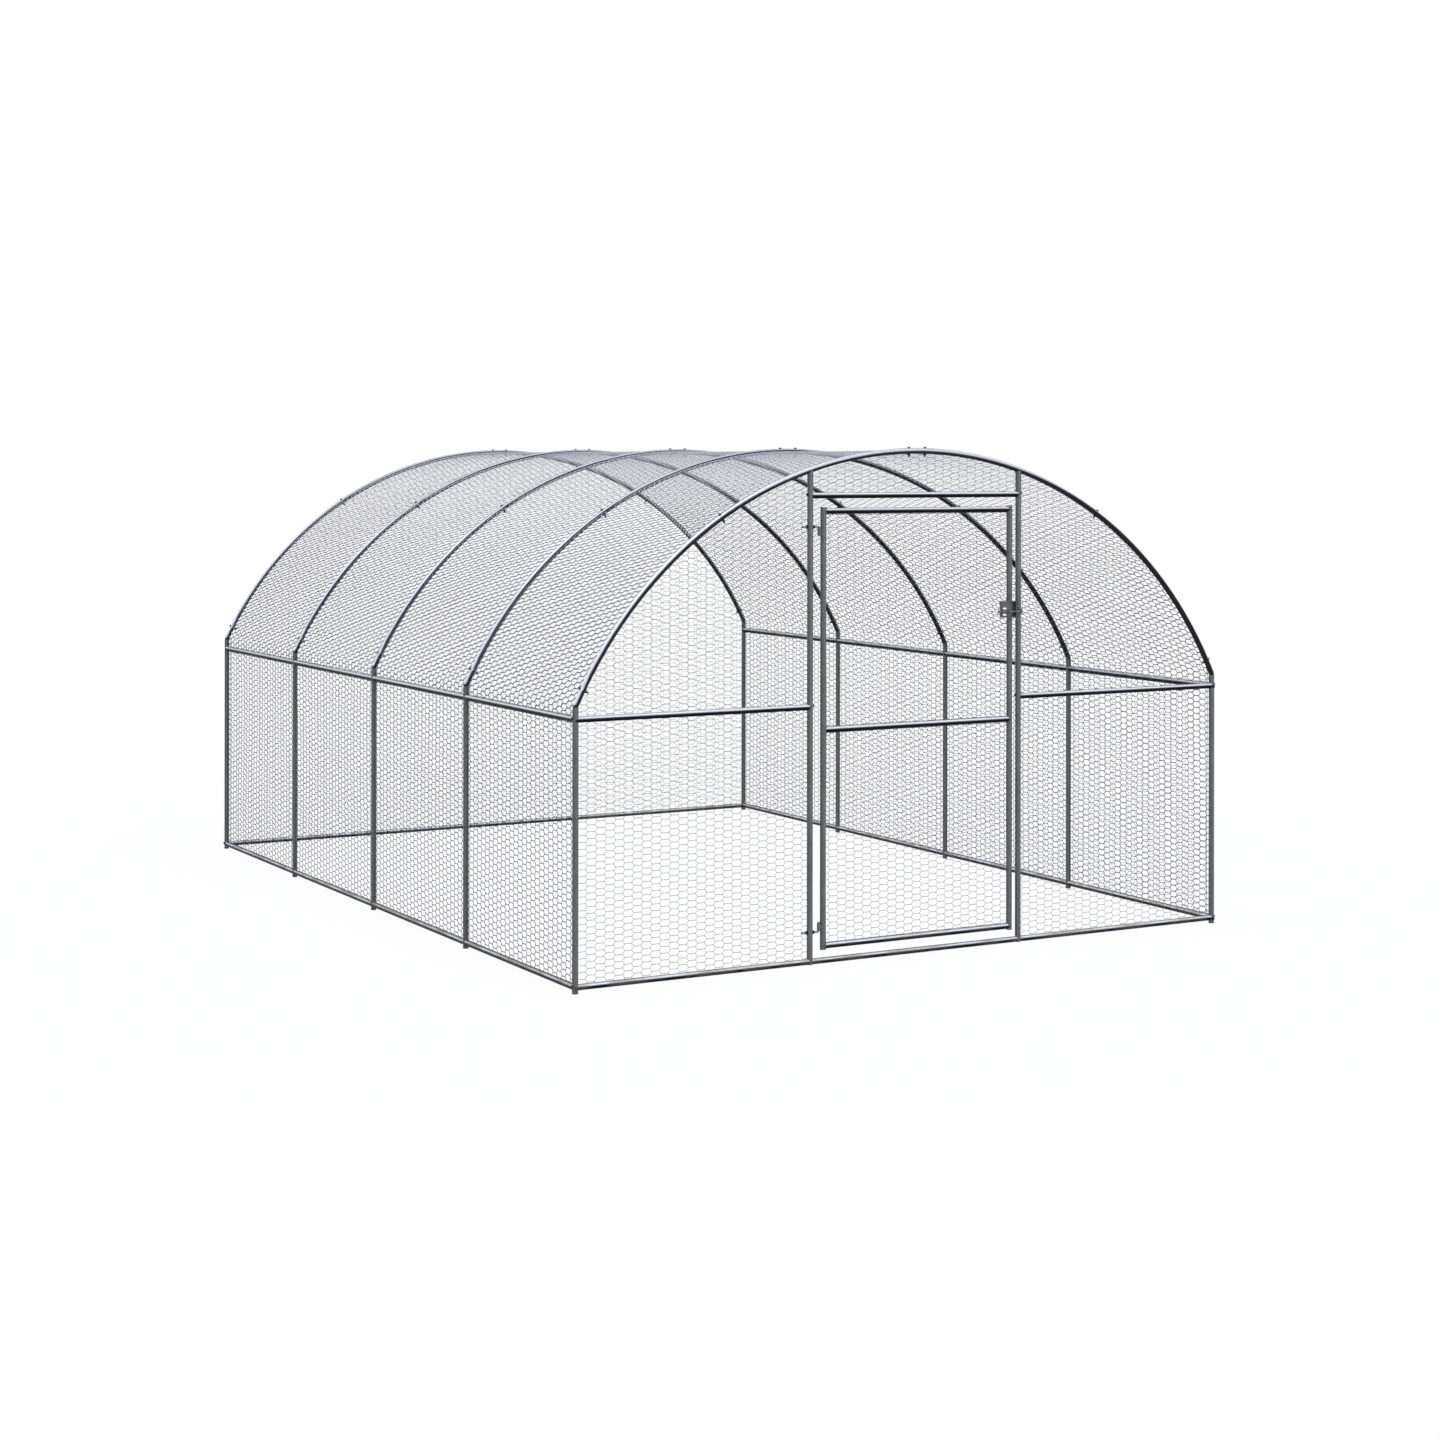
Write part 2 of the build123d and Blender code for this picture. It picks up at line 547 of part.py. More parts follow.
def latch_slide():
    """The round bolt, drawn back clear of its keeper, with a peg to pull it by."""
    tail, nose = LATCH_LEFT - LATCH_BOLT_TAIL, LATCH_RIGHT + LATCH_BOLT_NOSE
    peg_x = (LATCH_LEFT + LATCH_RIGHT - LATCH_TRAVEL) / 2
    bolt = latch_bar(tail, nose, LATCH_BOLT_DIAMETER / 2)
    peg_end = (peg_x, LATCH_BOLT_Y - LATCH_PEG_LENGTH, LATCH_HEIGHT)
    peg = bar((peg_x, LATCH_BOLT_Y, LATCH_HEIGHT), peg_end, LATCH_PEG_DIAMETER / 2)
    return one_solid(bolt.fuse(peg))


def latch_keeper():
    """A staple of bent strip on the front of the right door post that takes the latch bolt."""
    left = DOOR_POST_X - TUBE_RADIUS + KEEPER_INSET
    right = left + KEEPER_LENGTH
    gap = LATCH_BOLT_DIAMETER / 2 + KEEPER_CLEARANCE
    rim = gap + LATCH_SHEET
    low, high = LATCH_HEIGHT - rim, LATCH_HEIGHT + rim
    outside = block((left, LATCH_BOLT_Y - rim, low), (right, FRONT, high))
    bolt_space = block((left, LATCH_BOLT_Y - gap, LATCH_HEIGHT - gap), (right, FRONT, LATCH_HEIGHT + gap))
    post_space = bar((DOOR_POST_X, FRONT, low), (DOOR_POST_X, FRONT, high), TUBE_RADIUS + WELD_CLEARANCE)
    return one_solid(outside.cut(bolt_space, post_space))


def sides(polygon):
    """The sides of a polygon, as pairs of points."""
    return list(zip(polygon, polygon[1:] + polygon[:1]))


def cross(a, b):
    """Twice the area between two plane vectors."""
    return a[0] * b[1] - a[1] * b[0]


def minus(a, b):
    """The plane vector from b to a."""
    return a[0] - b[0], a[1] - b[1]


def stepped(point, way, share):
    """A plane point moved by a share of a vector."""
    return point[0] + way[0] * share, point[1] + way[1] * share


def inset(polygon, distance):
    """A convex polygon, listed anticlockwise, with every side moved inwards."""
    moved = []
    for a, b in sides(polygon):
        way = minus(b, a)
        inwards = (-way[1], way[0])
        moved.append((stepped(a, inwards, distance / math.hypot(*way)), way))
    corners = []
    for (a, way_a), (b, way_b) in sides(moved):
        corners.append(stepped(a, way_a, cross(minus(b, a), way_b) / cross(way_a, way_b)))
    return corners


def clipped(polygon, region):
    """The part of a polygon inside a convex region, both listed anticlockwise."""
    for a, b in sides(region):
        kept = []
        for p, q in sides(polygon):
            height_p, height_q = cross(minus(b, a), minus(p, a)), cross(minus(b, a), minus(q, a))
            if height_p >= 0:
                kept.append(p)
            if height_p * height_q < 0:
                kept.append(stepped(p, minus(q, p), height_p / (height_p - height_q)))
        polygon = kept
        if len(polygon) < 3:
            return []
    return polygon


def without_short_sides(polygon):
    """A polygon with no side shorter than the least one worth drawing."""
    return [b for a, b in sides(polygon) if math.hypot(*minus(b, a)) > NET_LEAST_SIDE]


def polygon_area(polygon):
    """The area of a polygon that is listed anticlockwise."""
    return sum(cross(a, b) for a, b in sides(polygon)) / 2


def net_gaps(region):
    """The gaps of a net inside a convex region: six-sided, with the twists along the first axis."""
    half_twist, half_row = NET_TWIST_LENGTH / 2, NET_ROW_PITCH / 2
    point_reach = NET_COLUMN_PITCH - half_twist
    cell = [
        (point_reach, 0),
        (half_twist, half_row),
        (-half_twist, half_row),
        (-point_reach, 0),
        (-half_twist, -half_row),
        (half_twist, -half_row),
    ]
    gap = inset(cell, NET_STRAND / 2)
    inner = inset(region, NET_EDGE)
    low = [min(point[axis] for point in region) for axis in (0, 1)]
    high = [max(point[axis] for point in region) for axis in (0, 1)]
    centre = [(a + b) / 2 for a, b in zip(low, high)]
    columns = math.ceil((high[0] - low[0]) / 2 / NET_COLUMN_PITCH) + 1
    rows = math.ceil((high[1] - low[1]) / 2 / NET_ROW_PITCH) + 1
    gaps = []
    for column in range(-columns, columns + 1):
        for row in range(-rows, rows + 1):
            middle = (
                centre[0] + column * NET_COLUMN_PITCH,
                centre[1] + (row + (column % 2) / 2) * NET_ROW_PITCH,
            )
            piece = without_short_sides(clipped([stepped(middle, point, 1) for point in gap], inner))
            if len(piece) >= 3 and polygon_area(piece) > NET_LEAST_GAP:
                gaps.append(piece)
    return gaps


def arch_underside(x):
    """The height of a net field's edge under an arch."""
    return ARCH_CENTRE + math.sqrt(END_NET_RADIUS**2 - x**2)


def flat_net(plane, left, right, bottom, top=None):
    """A flat holed net. Without a top height its top edge follows the underside of an arch."""
    corners = [(left, bottom), (right, bottom)]
    if top is None:
        corners += [(right, arch_underside(right)), (left, arch_underside(left))]
        steps = math.ceil((right - left) / (ARCH_RADIUS * math.radians(ARC_STEP)))
        stations = [right + (left - right) * step / steps for step in range(steps + 1)]
        region = corners[:2] + [(x, arch_underside(x)) for x in stations]
    else:
        corners += [(right, top), (left, top)]
        region = corners

    def placed(point):
        return plane.from_local_coords((point[0], point[1], -NET_THICKNESS / 2))

    ends = [placed(point) for point in corners]
    edges = [Edge.make_line(ends[side - 1], ends[side]) for side in range(3)]
    if top is None:
        crown = (left + right) / 2
        edges.append(Edge.make_three_point_arc(ends[2], placed((crown, arch_underside(crown))), ends[3]))
    else:
        edges.append(Edge.make_line(ends[2], ends[3]))
    gaps = [Wire.make_polygon([placed(point) for point in gap], close=True) for gap in net_gaps(region)]
    return Solid.extrude(Face(Wire(edges), gaps), plane.z_dir * NET_THICKNESS)


def upright_plane(y):
    """The plane of a front or back net, with X and Z as its axes."""
    return Plane(origin=(0, y, 0), x_dir=(1, 0, 0), z_dir=(0, -1, 0))


def side_net(x, bay):
    """The net of one side field."""
    plane = Plane(origin=(x, 0, 0), x_dir=(0, 1, 0), z_dir=(1, 0, 0))
    return flat_net(
        plane,
        ROWS[bay] + FIELD_INSET,
        ROWS[bay + 1] - FIELD_INSET,
        BASE_HEIGHT + FIELD_INSET,
        EAVE_HEIGHT - FIELD_INSET,
    )


def front_nets(side):
    """The lower and the upper net beside the door: side is -1 on the left and 1 on the right.

    They lie against the inner side of the front tubes, clear of the bolts in them.
    """
    outer, inner = side * (POST_X - FIELD_INSET), side * (DOOR_POST_X + NET_CLEARANCE)
    left, right = min(outer, inner), max(outer, inner)
    plane = upright_plane(FRONT + END_NET_INSET)
    lower = flat_net(plane, left, right, BASE_HEIGHT, EAVE_HEIGHT - NET_CLEARANCE)
    upper = flat_net(plane, left, right, EAVE_HEIGHT + NET_CLEARANCE)
    return [lower, upper]


def gable_net():
    """The net over the lintel."""
    edge = DOOR_POST_X - NET_CLEARANCE
    return flat_net(upright_plane(FRONT + END_NET_INSET), -edge, edge, LINTEL_HEIGHT)


def back_nets():
    """The two strips of the back, which meet at eave height."""
    edge = POST_X - FIELD_INSET
    plane = upright_plane(BACK - END_NET_INSET)
    lower = flat_net(plane, -edge, edge, BASE_HEIGHT, EAVE_HEIGHT - NET_CLEARANCE / 2)
    upper = flat_net(plane, -edge, edge, EAVE_HEIGHT + NET_CLEARANCE / 2)
    return [lower, upper]


def door_net(bottom, top):
    """The net of one door field."""
    left, right = HINGE_STILE_X + FIELD_INSET, LATCH_STILE_X - FIELD_INSET
    return flat_net(upright_plane(FRONT), left, right, bottom + FIELD_INSET, top - FIELD_INSET)


ROOF_NET_FOOT = EAVE_HEIGHT + FIELD_INSET
ROOF_STRAIGHT = NET_CENTRE_Z - ROOF_NET_FOOT  # upright part of a roof net, below the bend
ROOF_BEND = NET_BEND_RADIUS * (math.pi / 2 - NET_ANGLE)  # its length round the bend
ROOF_LOWER_LENGTH = ROOF_STRAIGHT + ROOF_BEND + ARCH_RADIUS * (NET_ANGLE - MIDDLE_ANGLE) - NET_CLEARANCE / 2
ROOF_LENGTH = ROOF_STRAIGHT + ROOF_BEND + ARCH_RADIUS * NET_ANGLE


def roof_point(length, lift=0.0):
    """A point of the left roof net's section and its outward normal, by the length from its foot."""
    if length <= ROOF_STRAIGHT:
        return (-POST_X - lift, ROOF_NET_FOOT + length), (-1.0, 0.0)
    if length <= ROOF_STRAIGHT + ROOF_BEND:
        turn = (length - ROOF_STRAIGHT) / NET_BEND_RADIUS
        normal = (-math.cos(turn), math.sin(turn))
        reach = NET_BEND_RADIUS + lift
        return (-NET_CENTRE_X + normal[0] * reach, NET_CENTRE_Z + normal[1] * reach), normal
    angle = NET_ANGLE - (length - ROOF_STRAIGHT - ROOF_BEND) / ARCH_RADIUS
    return arch_point(-angle, ARCH_RADIUS + lift), (-math.sin(angle), math.cos(angle))


def roof_sheet(start, end, y_low, y_high):
    """The left roof net without its gaps, between two lengths along its section."""
    breaks = [ROOF_STRAIGHT, ROOF_STRAIGHT + ROOF_BEND]
    stations = [start] + [length for length in breaks if start < length < end] + [end]

    def placed(length, lift):
        x, z = roof_point(length, lift)[0]
        return Vector(x, y_low, z)

    def run(a, b, lift):
        if max(a, b) <= ROOF_STRAIGHT:
            return Edge.make_line(placed(a, lift), placed(b, lift))
        return Edge.make_three_point_arc(placed(a, lift), placed((a + b) / 2, lift), placed(b, lift))

    half = NET_THICKNESS / 2
    edges = [run(a, b, half) for a, b in zip(stations, stations[1:])]
    edges.append(Edge.make_line(placed(end, half), placed(end, -half)))
    edges += [run(b, a, -half) for a, b in reversed(list(zip(stations, stations[1:])))]
    edges.append(Edge.make_line(placed(start, -half), placed(start, half)))
    return Solid.extrude(Face(Wire(edges)), Vector(0, y_high - y_low, 0))


def left_roof_net(start, end):
    """One strip of the left roof net in the first bay, with its gaps cut square to its surface."""
    y_low, y_high = ROWS[0] + FIELD_INSET, ROWS[1] - FIELD_INSET
    sheet = roof_sheet(start, end, y_low, y_high)
    prisms = []
    for gap in net_gaps([(y_low, start), (y_high, start), (y_high, end), (y_low, end)]):
        middle = sum(point[1] for point in gap) / len(gap)
        (x, z), (out_x, out_z) = roof_point(middle)
        depth = NET_BEND_RADIUS
        corners = []
        for y, length in gap:
            along = length - middle
            corner_x = x + out_z * along + out_x * depth / 2
            corner_z = z - out_x * along + out_z * depth / 2
            corners.append(Vector(corner_x, y, corner_z))
        prism = Solid.extrude(Face(Wire.make_polygon(corners, close=True)), Vector(-out_x, 0, -out_z) * depth)
        prisms.append(prism)
    return one_solid(sheet.cut(*prisms))


def in_every_bay(net):
    """A first-bay net repeated in all the bays."""
    return [moved_along(net, BAY_LENGTH * bay) for bay in range(BAYS)]


def rail_bolts():
    """Bolts where a rail ends at a post, heads on the far side of the post."""
    bolts = []
    for side in (-1, 1):
        for height in (BASE_HEIGHT, EAVE_HEIGHT):
            bolts.append(rail_bolt(side * POST_X, FRONT, height, (-side, 0, 0)))
            bolts.append(rail_bolt(side * POST_X, FRONT, height, (0, 1, 0)))
            bolts.append(rail_bolt(side * POST_X, BACK, height, (0, -1, 0)))
        bolts.append(rail_bolt(side * POST_X, BACK, BASE_HEIGHT, (-side, 0, 0)))
        bolts.append(rail_bolt(side * DOOR_POST_X, FRONT, EAVE_HEIGHT, (side, 0, 0)))
        bolts.append(rail_bolt(side * DOOR_POST_X, FRONT, LINTEL_HEIGHT, (-side, 0, 0)))
    return bolts


def rail_studs():
    """Studs where rails meet on both sides of a post."""
    studs = [rail_stud(side * DOOR_POST_X, FRONT, BASE_HEIGHT, "X") for side in (-1, 1)]
    for side in (-1, 1):
        for height in (BASE_HEIGHT, EAVE_HEIGHT):
            studs += [rail_stud(side * POST_X, y, height, "Y") for y in ROWS[1:-1]]
    return studs


def frame_nodes():
    """Every piece of the standing frame."""
    nodes = {}
    posts = [left_post(row) for row in range(BAYS + 1)]
    for row, post in enumerate(posts):
        nodes[f"post_left_{row + 1}"] = [post]
        nodes[f"post_right_{row + 1}"] = mirrored([post])
    plugs = [left_foot_plug(row) for row in range(BAYS + 1)]
    nodes["foot_plugs"] = plugs + mirrored(plugs)
    nodes["arch_elbows_left"] = left_elbows()
    nodes["arch_elbows_right"] = mirrored(nodes["arch_elbows_left"])
    half_arch = left_arch_tubes()
    arch = half_arch + mirrored(half_arch)
    coupler = ridge_coupler()
    for row, y in enumerate(ROWS):
        nodes[f"arch_{row + 1}"] = [moved_along(tube, y) for tube in arch]
    nodes["ridge_couplers"] = [moved_along(coupler, y) for y in ROWS]
    nodes["arch_bolts"] = [arch_bolt(angle, y) for y in ROWS for angle in ARCH_BOLT_ANGLES]
    nodes["arch_nuts"] = [arch_nut(angle, y) for y in ROWS for angle in ARCH_BOLT_ANGLES]
    for name, height in (("eave_rails", EAVE_HEIGHT), ("side_base_rails", BASE_HEIGHT)):
        nodes[f"{name}_left"] = left_side_rails(height)
        nodes[f"{name}_right"] = mirrored(nodes[f"{name}_left"])
    nodes["back_base_rails"] = back_rails()
    nodes["back_rail_couplers"] = back_couplers()
    nodes["front_base_rail_left"] = [front_rail(-POST_X, -DOOR_POST_X, BASE_HEIGHT)]
    nodes["door_sill_rail"] = [front_rail(-DOOR_POST_X, DOOR_POST_X, BASE_HEIGHT)]
    nodes["front_base_rail_right"] = mirrored(nodes["front_base_rail_left"])
    nodes["front_mid_rail_left"] = [front_rail(-POST_X, -DOOR_POST_X, EAVE_HEIGHT)]
    nodes["front_mid_rail_right"] = mirrored(nodes["front_mid_rail_left"])
    nodes["lintel_rail"] = [front_rail(-DOOR_POST_X, DOOR_POST_X, LINTEL_HEIGHT)]
    hinge_heights = (LOWER_HINGE_HEIGHT, UPPER_HINGE_HEIGHT)
    nodes["door_post_left"] = [door_post(-DOOR_POST_X, hinge_heights)]
    nodes["door_post_right"] = [door_post(DOOR_POST_X, ())]
    nodes["door_post_pegs"] = [door_post_peg(side * DOOR_POST_X) for side in (-1, 1)]
    nodes["rail_bolts"] = rail_bolts()
    nodes["rail_studs"] = rail_studs()
    nodes["hinge_hooks"] = [hinge_hook(LOWER_HINGE_HEIGHT, 1), hinge_hook(UPPER_HINGE_HEIGHT, -1)]
    nodes["hinge_nuts"] = [nut for height in hinge_heights for nut in hinge_nuts(height)]
    nodes["latch_keeper"] = [latch_keeper()]
    return nodes


def net_nodes():
    """The netting of the standing frame."""
    nodes = {}
    nodes["side_nets_left"] = [side_net(-POST_X, bay) for bay in range(BAYS)]
    nodes["side_nets_right"] = [side_net(POST_X, bay) for bay in range(BAYS)]
    lower = in_every_bay(left_roof_net(0, ROOF_LOWER_LENGTH))
    upper = in_every_bay(left_roof_net(ROOF_LOWER_LENGTH + NET_CLEARANCE, ROOF_LENGTH - NET_CLEARANCE / 2))
    nodes["roof_nets_left_lower"] = lower
    nodes["roof_nets_left_upper"] = upper
    nodes["roof_nets_right_upper"] = mirrored(upper)
    nodes["roof_nets_right_lower"] = mirrored(lower)
    nodes["back_nets"] = back_nets()
    nodes["front_nets_left"] = front_nets(-1)
    nodes["front_nets_right"] = front_nets(1)
    nodes["gable_net"] = [gable_net()]
    return nodes


def door_nodes():
    """The door leaf, and the latch bolt that slides on it."""
    nodes = {}
    nodes["door_hinge_stile"] = [door_stile(HINGE_STILE_X)]
    nodes["door_latch_stile"] = [door_stile(LATCH_STILE_X)]
    nodes["door_top_rail"] = [door_rail(DOOR_TOP_RAIL)]
    nodes["door_middle_rail"] = [door_rail(DOOR_MIDDLE_RAIL)]
    nodes["door_bottom_rail"] = [door_rail(DOOR_BOTTOM_RAIL)]
    nodes["hinge_sleeves"] = [hinge_sleeve(LOWER_HINGE_HEIGHT, 1), hinge_sleeve(UPPER_HINGE_HEIGHT, -1)]
    nodes["latch_housing"] = [latch_housing()]
    nodes["door_nets"] = [
        door_net(DOOR_BOTTOM_RAIL, DOOR_MIDDLE_RAIL),
        door_net(DOOR_MIDDLE_RAIL, DOOR_TOP_RAIL),
    ]
    nodes["latch_slide"] = [latch_slide()]
    return nodes


def main():
    """Builds every node and writes its file."""
    os.makedirs("parts", exist_ok=True)
    nodes = frame_nodes() | net_nodes() | door_nodes()
    centred = Location((0, CENTRE_SHIFT, 0))
    for name, solids in nodes.items():
        placed = [solid.moved(centred) for solid in solids]
        piece = placed[0] if len(placed) == 1 else Compound(placed)
        export_step(piece, f"parts/{name}.step", write_pcurves=False)
    print(len(nodes), "nodes,", sum(len(solids) for solids in nodes.values()), "solids")
    print("hinge axis at", round(HINGE_X, 3), round(FRONT + CENTRE_SHIFT, 3))


main()
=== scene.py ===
# %% [markdown]
# # A walk-in chicken run of tube and wire netting
#
# The real object is a pen that a keeper walks into: five rows of galvanised posts carry
# five arched tubes, rails join them, and hexagonal wire netting covers sides, roof and
# ends. The tubes, bolts, hinges and latch come from the construction model, so this script
# gives them their finish. It weaves the netting itself, wire by wire, because netting is
# what the eye sees most of, and a drawn-on pattern would vanish when the run is seen close.

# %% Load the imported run
import json
from functools import partial
from math import cos, pi, radians, sin

import bpy
import numpy as np
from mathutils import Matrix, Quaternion, Vector


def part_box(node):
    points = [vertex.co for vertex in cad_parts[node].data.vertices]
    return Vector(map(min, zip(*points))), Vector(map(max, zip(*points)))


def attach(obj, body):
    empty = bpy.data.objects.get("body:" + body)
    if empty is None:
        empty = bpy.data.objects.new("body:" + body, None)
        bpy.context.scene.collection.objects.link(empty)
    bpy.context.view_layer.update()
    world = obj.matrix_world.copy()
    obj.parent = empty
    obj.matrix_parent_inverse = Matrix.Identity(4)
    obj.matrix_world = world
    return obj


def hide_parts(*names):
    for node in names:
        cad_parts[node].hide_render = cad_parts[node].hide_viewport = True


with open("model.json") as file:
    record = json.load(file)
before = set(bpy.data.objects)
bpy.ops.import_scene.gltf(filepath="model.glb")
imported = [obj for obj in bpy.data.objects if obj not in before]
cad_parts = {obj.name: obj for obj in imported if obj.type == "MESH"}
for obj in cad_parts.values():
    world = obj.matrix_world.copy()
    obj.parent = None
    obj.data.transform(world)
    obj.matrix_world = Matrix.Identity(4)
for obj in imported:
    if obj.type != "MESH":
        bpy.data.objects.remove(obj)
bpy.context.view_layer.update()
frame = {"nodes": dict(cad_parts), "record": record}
nodes = frame["nodes"]
scene = bpy.context.scene

# %% [markdown]
# ## The camera
#
# A camera can be placed by eye, but here its place was worked out from the run's own posts
# and arch, whose true sizes are known. It stands ahead and to the left, at about the height
# of the ridge, with a long lens. The lens axis is level, so the posts stay upright in the
# picture, and the frame is lowered with the lens shift instead of tipping the camera. A lean
# of under a tenth of a degree is kept as well.

# %% Place the camera
PICTURE_WIDTH = 1440
PICTURE_DROP = 261.5
CAMERA_PLACE = Vector((-5.587, -10.3871, 1.9539))
CAMERA_TURN = radians(-29.1888)
CAMERA_LEAN = radians(0.0796)
camera_data = bpy.data.cameras.new("camera")
camera_data.sensor_width = 36.0
camera_data.lens = 64.044
camera_data.shift_y = -PICTURE_DROP / PICTURE_WIDTH
camera_data.clip_end = 200.0
looking = Vector((-sin(CAMERA_TURN), cos(CAMERA_TURN), 0.0))
leaning = Quaternion((0, 0, 1), CAMERA_LEAN)
camera = bpy.data.objects.new("camera", camera_data)
camera.location = CAMERA_PLACE
camera.rotation_euler = (looking.to_track_quat("-Z", "Y") @ leaning).to_euler()
scene.collection.objects.link(camera)
scene.camera = camera
scene.view_settings.view_transform = "Standard"
print("camera looks along", [round(value, 3) for value in looking])

# %% [markdown]
# ## Node helpers
#
# Materials here are built from nodes by code. A few small helpers keep that readable: one adds
# a node and sets its inputs, others wrap the nodes that are used most, and one makes a group
# with named sockets, so that one effect can be placed in several materials with its own values.


# %% Add and join nodes
def feed(tree, socket, value):
    """Links an output socket to an input, or sets the input to a plain value."""
    if isinstance(value, bpy.types.NodeSocket):
        tree.links.new(value, socket)
    else:
        socket.default_value = value


def add_node(tree, kind, settings=None, **inputs):
    """Adds a node; inputs go by name, with _ for a space, or by number as i0, i1, i2."""
    node = tree.nodes.new(kind)
    for name, value in (settings or {}).items():
        setattr(node, name, value)
    for name, value in inputs.items():
        numbered = name[0] == "i" and name[1:].isdigit()
        key = int(name[1:]) if numbered else name.replace("_", " ")
        feed(tree, node.inputs[key], value)
    return node


def combine(tree, operation, first, second):
    """One Math node, for sums on masks."""
    return add_node(tree, "ShaderNodeMath", {"operation": operation}, i0=first, i1=second).outputs[0]


def ramp(tree, value, low, high, to_low=0.0, to_high=1.0):
    """Stretches the part of a value between low and high over another range, with soft ends."""
    limits = {"From_Min": low, "From_Max": high, "To_Min": to_low, "To_Max": to_high}
    soft = {"interpolation_type": "SMOOTHSTEP"}
    return add_node(tree, "ShaderNodeMapRange", soft, Value=value, **limits).outputs[0]


def noise(tree, place, scale, detail):
    """A cloudy pattern between 0 and 1."""
    return add_node(tree, "ShaderNodeTexNoise", Vector=place, Scale=scale, Detail=detail).outputs[0]


# %% Mix colours, start groups and materials
def mix_colour(tree, share, first, second, way="MIX"):
    """Mixes two colours; a colour is a socket or three numbers."""
    node = tree.nodes.new("ShaderNodeMix")
    node.data_type = "RGBA"
    node.blend_type = way
    for number, value in ((0, share), (6, first), (7, second)):
        feed(tree, node.inputs[number], (*value, 1.0) if isinstance(value, tuple) else value)
    return node.outputs[2]


def new_group(name, inputs, outputs):
    """A node group, the sockets it is given and the ones it fills; a tuple means a colour."""
    group = bpy.data.node_groups.new(name, "ShaderNodeTree")
    for label, value in inputs.items():
        kind = "NodeSocketColor" if isinstance(value, tuple) else "NodeSocketFloat"
        socket = group.interface.new_socket(label, in_out="INPUT", socket_type=kind)
        socket.default_value = value
    for label, kind in outputs.items():
        group.interface.new_socket(label, in_out="OUTPUT", socket_type=kind)
    given = group.nodes.new("NodeGroupInput").outputs
    made = group.nodes.new("NodeGroupOutput").inputs
    return group, given, made


def new_material(name):
    """An empty node material with its Principled shader."""
    material = bpy.data.materials.new(name)
    material.use_nodes = True
    return material, material.node_tree, material.node_tree.nodes["Principled BSDF"]


# %% [markdown]
# ## Light, floor and backdrop
#
# The run stands on plain white. The floor and the world are white to the camera and to the tubes that mirror
# them, through the Light Path node, and the lamps only have to light the run at a plain level. A wide lamp
# overhead lights the upper edge of every level tube and leaves its underside dark; the zinc's colour adds a
# painted highlight on top and painted shade underneath. The floor keeps a faint shadow.


# %% The white world
def seen_directly(tree):
    """1 for camera, mirror and see-through rays, which get the white backdrop."""
    path = add_node(tree, "ShaderNodeLightPath").outputs
    direct = combine(tree, "MAXIMUM", path["Is Camera Ray"], path["Is Glossy Ray"])
    return combine(tree, "MAXIMUM", direct, path["Is Transmission Ray"])


WHITE = (1.0, 1.0, 1.0, 1.0)
SKY_FILL = (0.8, 0.88, 1.0, 1.0)
world = bpy.data.worlds.new("studio")
world.use_nodes = True
scene.world = world
sky = world.node_tree
sky.nodes.clear()
soft_fill = add_node(sky, "ShaderNodeBackground", Color=SKY_FILL, Strength=0.42).outputs[0]
white_back = add_node(sky, "ShaderNodeBackground", Color=WHITE, Strength=1.0).outputs[0]
backdrop = add_node(sky, "ShaderNodeMixShader", i0=seen_directly(sky), i1=soft_fill, i2=white_back)
add_node(sky, "ShaderNodeOutputWorld", Surface=backdrop.outputs[0])
print("world:", world.name)

# %% The floor
FLOOR_REACH = 60.0
SHADOW_REACH = (2.6, 6.0)
WHITE_IN_SHADOW = 0.95
corners = [(x * FLOOR_REACH, y * FLOOR_REACH, 0.0) for x, y in ((-1, -1), (1, -1), (1, 1), (-1, 1))]
floor_mesh = bpy.data.meshes.new("floor")
floor_mesh.from_pydata(corners, [], [(0, 1, 2, 3)])
floor = bpy.data.objects.new("floor", floor_mesh)
scene.collection.objects.link(floor)
floor_white, tree, shader = new_material("floor_white")
shader.inputs["Base Color"].default_value = (0.8, 0.8, 0.82, 1.0)
shader.inputs["Roughness"].default_value = 0.9
shader.inputs["Specular IOR Level"].default_value = 0.1
glow = add_node(tree, "ShaderNodeEmission", Color=WHITE, Strength=1.0).outputs[0]
spot = add_node(tree, "ShaderNodeTexCoord").outputs["Object"]
distance = add_node(tree, "ShaderNodeVectorMath", {"operation": "LENGTH"}, i0=spot).outputs["Value"]
fading = ramp(tree, distance, *SHADOW_REACH, WHITE_IN_SHADOW, 1.0)
white_share = combine(tree, "MULTIPLY", seen_directly(tree), fading)
surface = add_node(tree, "ShaderNodeMixShader", i0=white_share, i1=shader.outputs[0], i2=glow).outputs[0]
tree.links.new(surface, tree.nodes["Material Output"].inputs["Surface"])
floor_mesh.materials.append(floor_white)
print("floor reaches", FLOOR_REACH, "m each way")


# %% The lamps
def lamp(name, place, target, width, depth, watts):
    """A rectangular studio lamp that faces its target."""
    data = bpy.data.lights.new(name, "AREA")
    data.shape = "RECTANGLE"
    data.size = width
    data.size_y = depth
    data.energy = watts
    lit = bpy.data.objects.new(name, data)
    scene.collection.objects.link(lit)
    lit.location = place
    lit.rotation_euler = (Vector(target) - Vector(place)).to_track_quat("-Z", "Y").to_euler()
    return lit


overhead = lamp("overhead_lamp", place=(-0.5, -0.5, 7.0), target=(0.0, 0.0, 0.0),
                width=4.0, depth=6.0, watts=420.0)
front_lamp = lamp("front_lamp", place=(1.5, -11.0, 4.5), target=(0.0, 0.0, 0.8),
                  width=4.0, depth=3.0, watts=330.0)
print("lamps:", overhead.name, front_lamp.name)

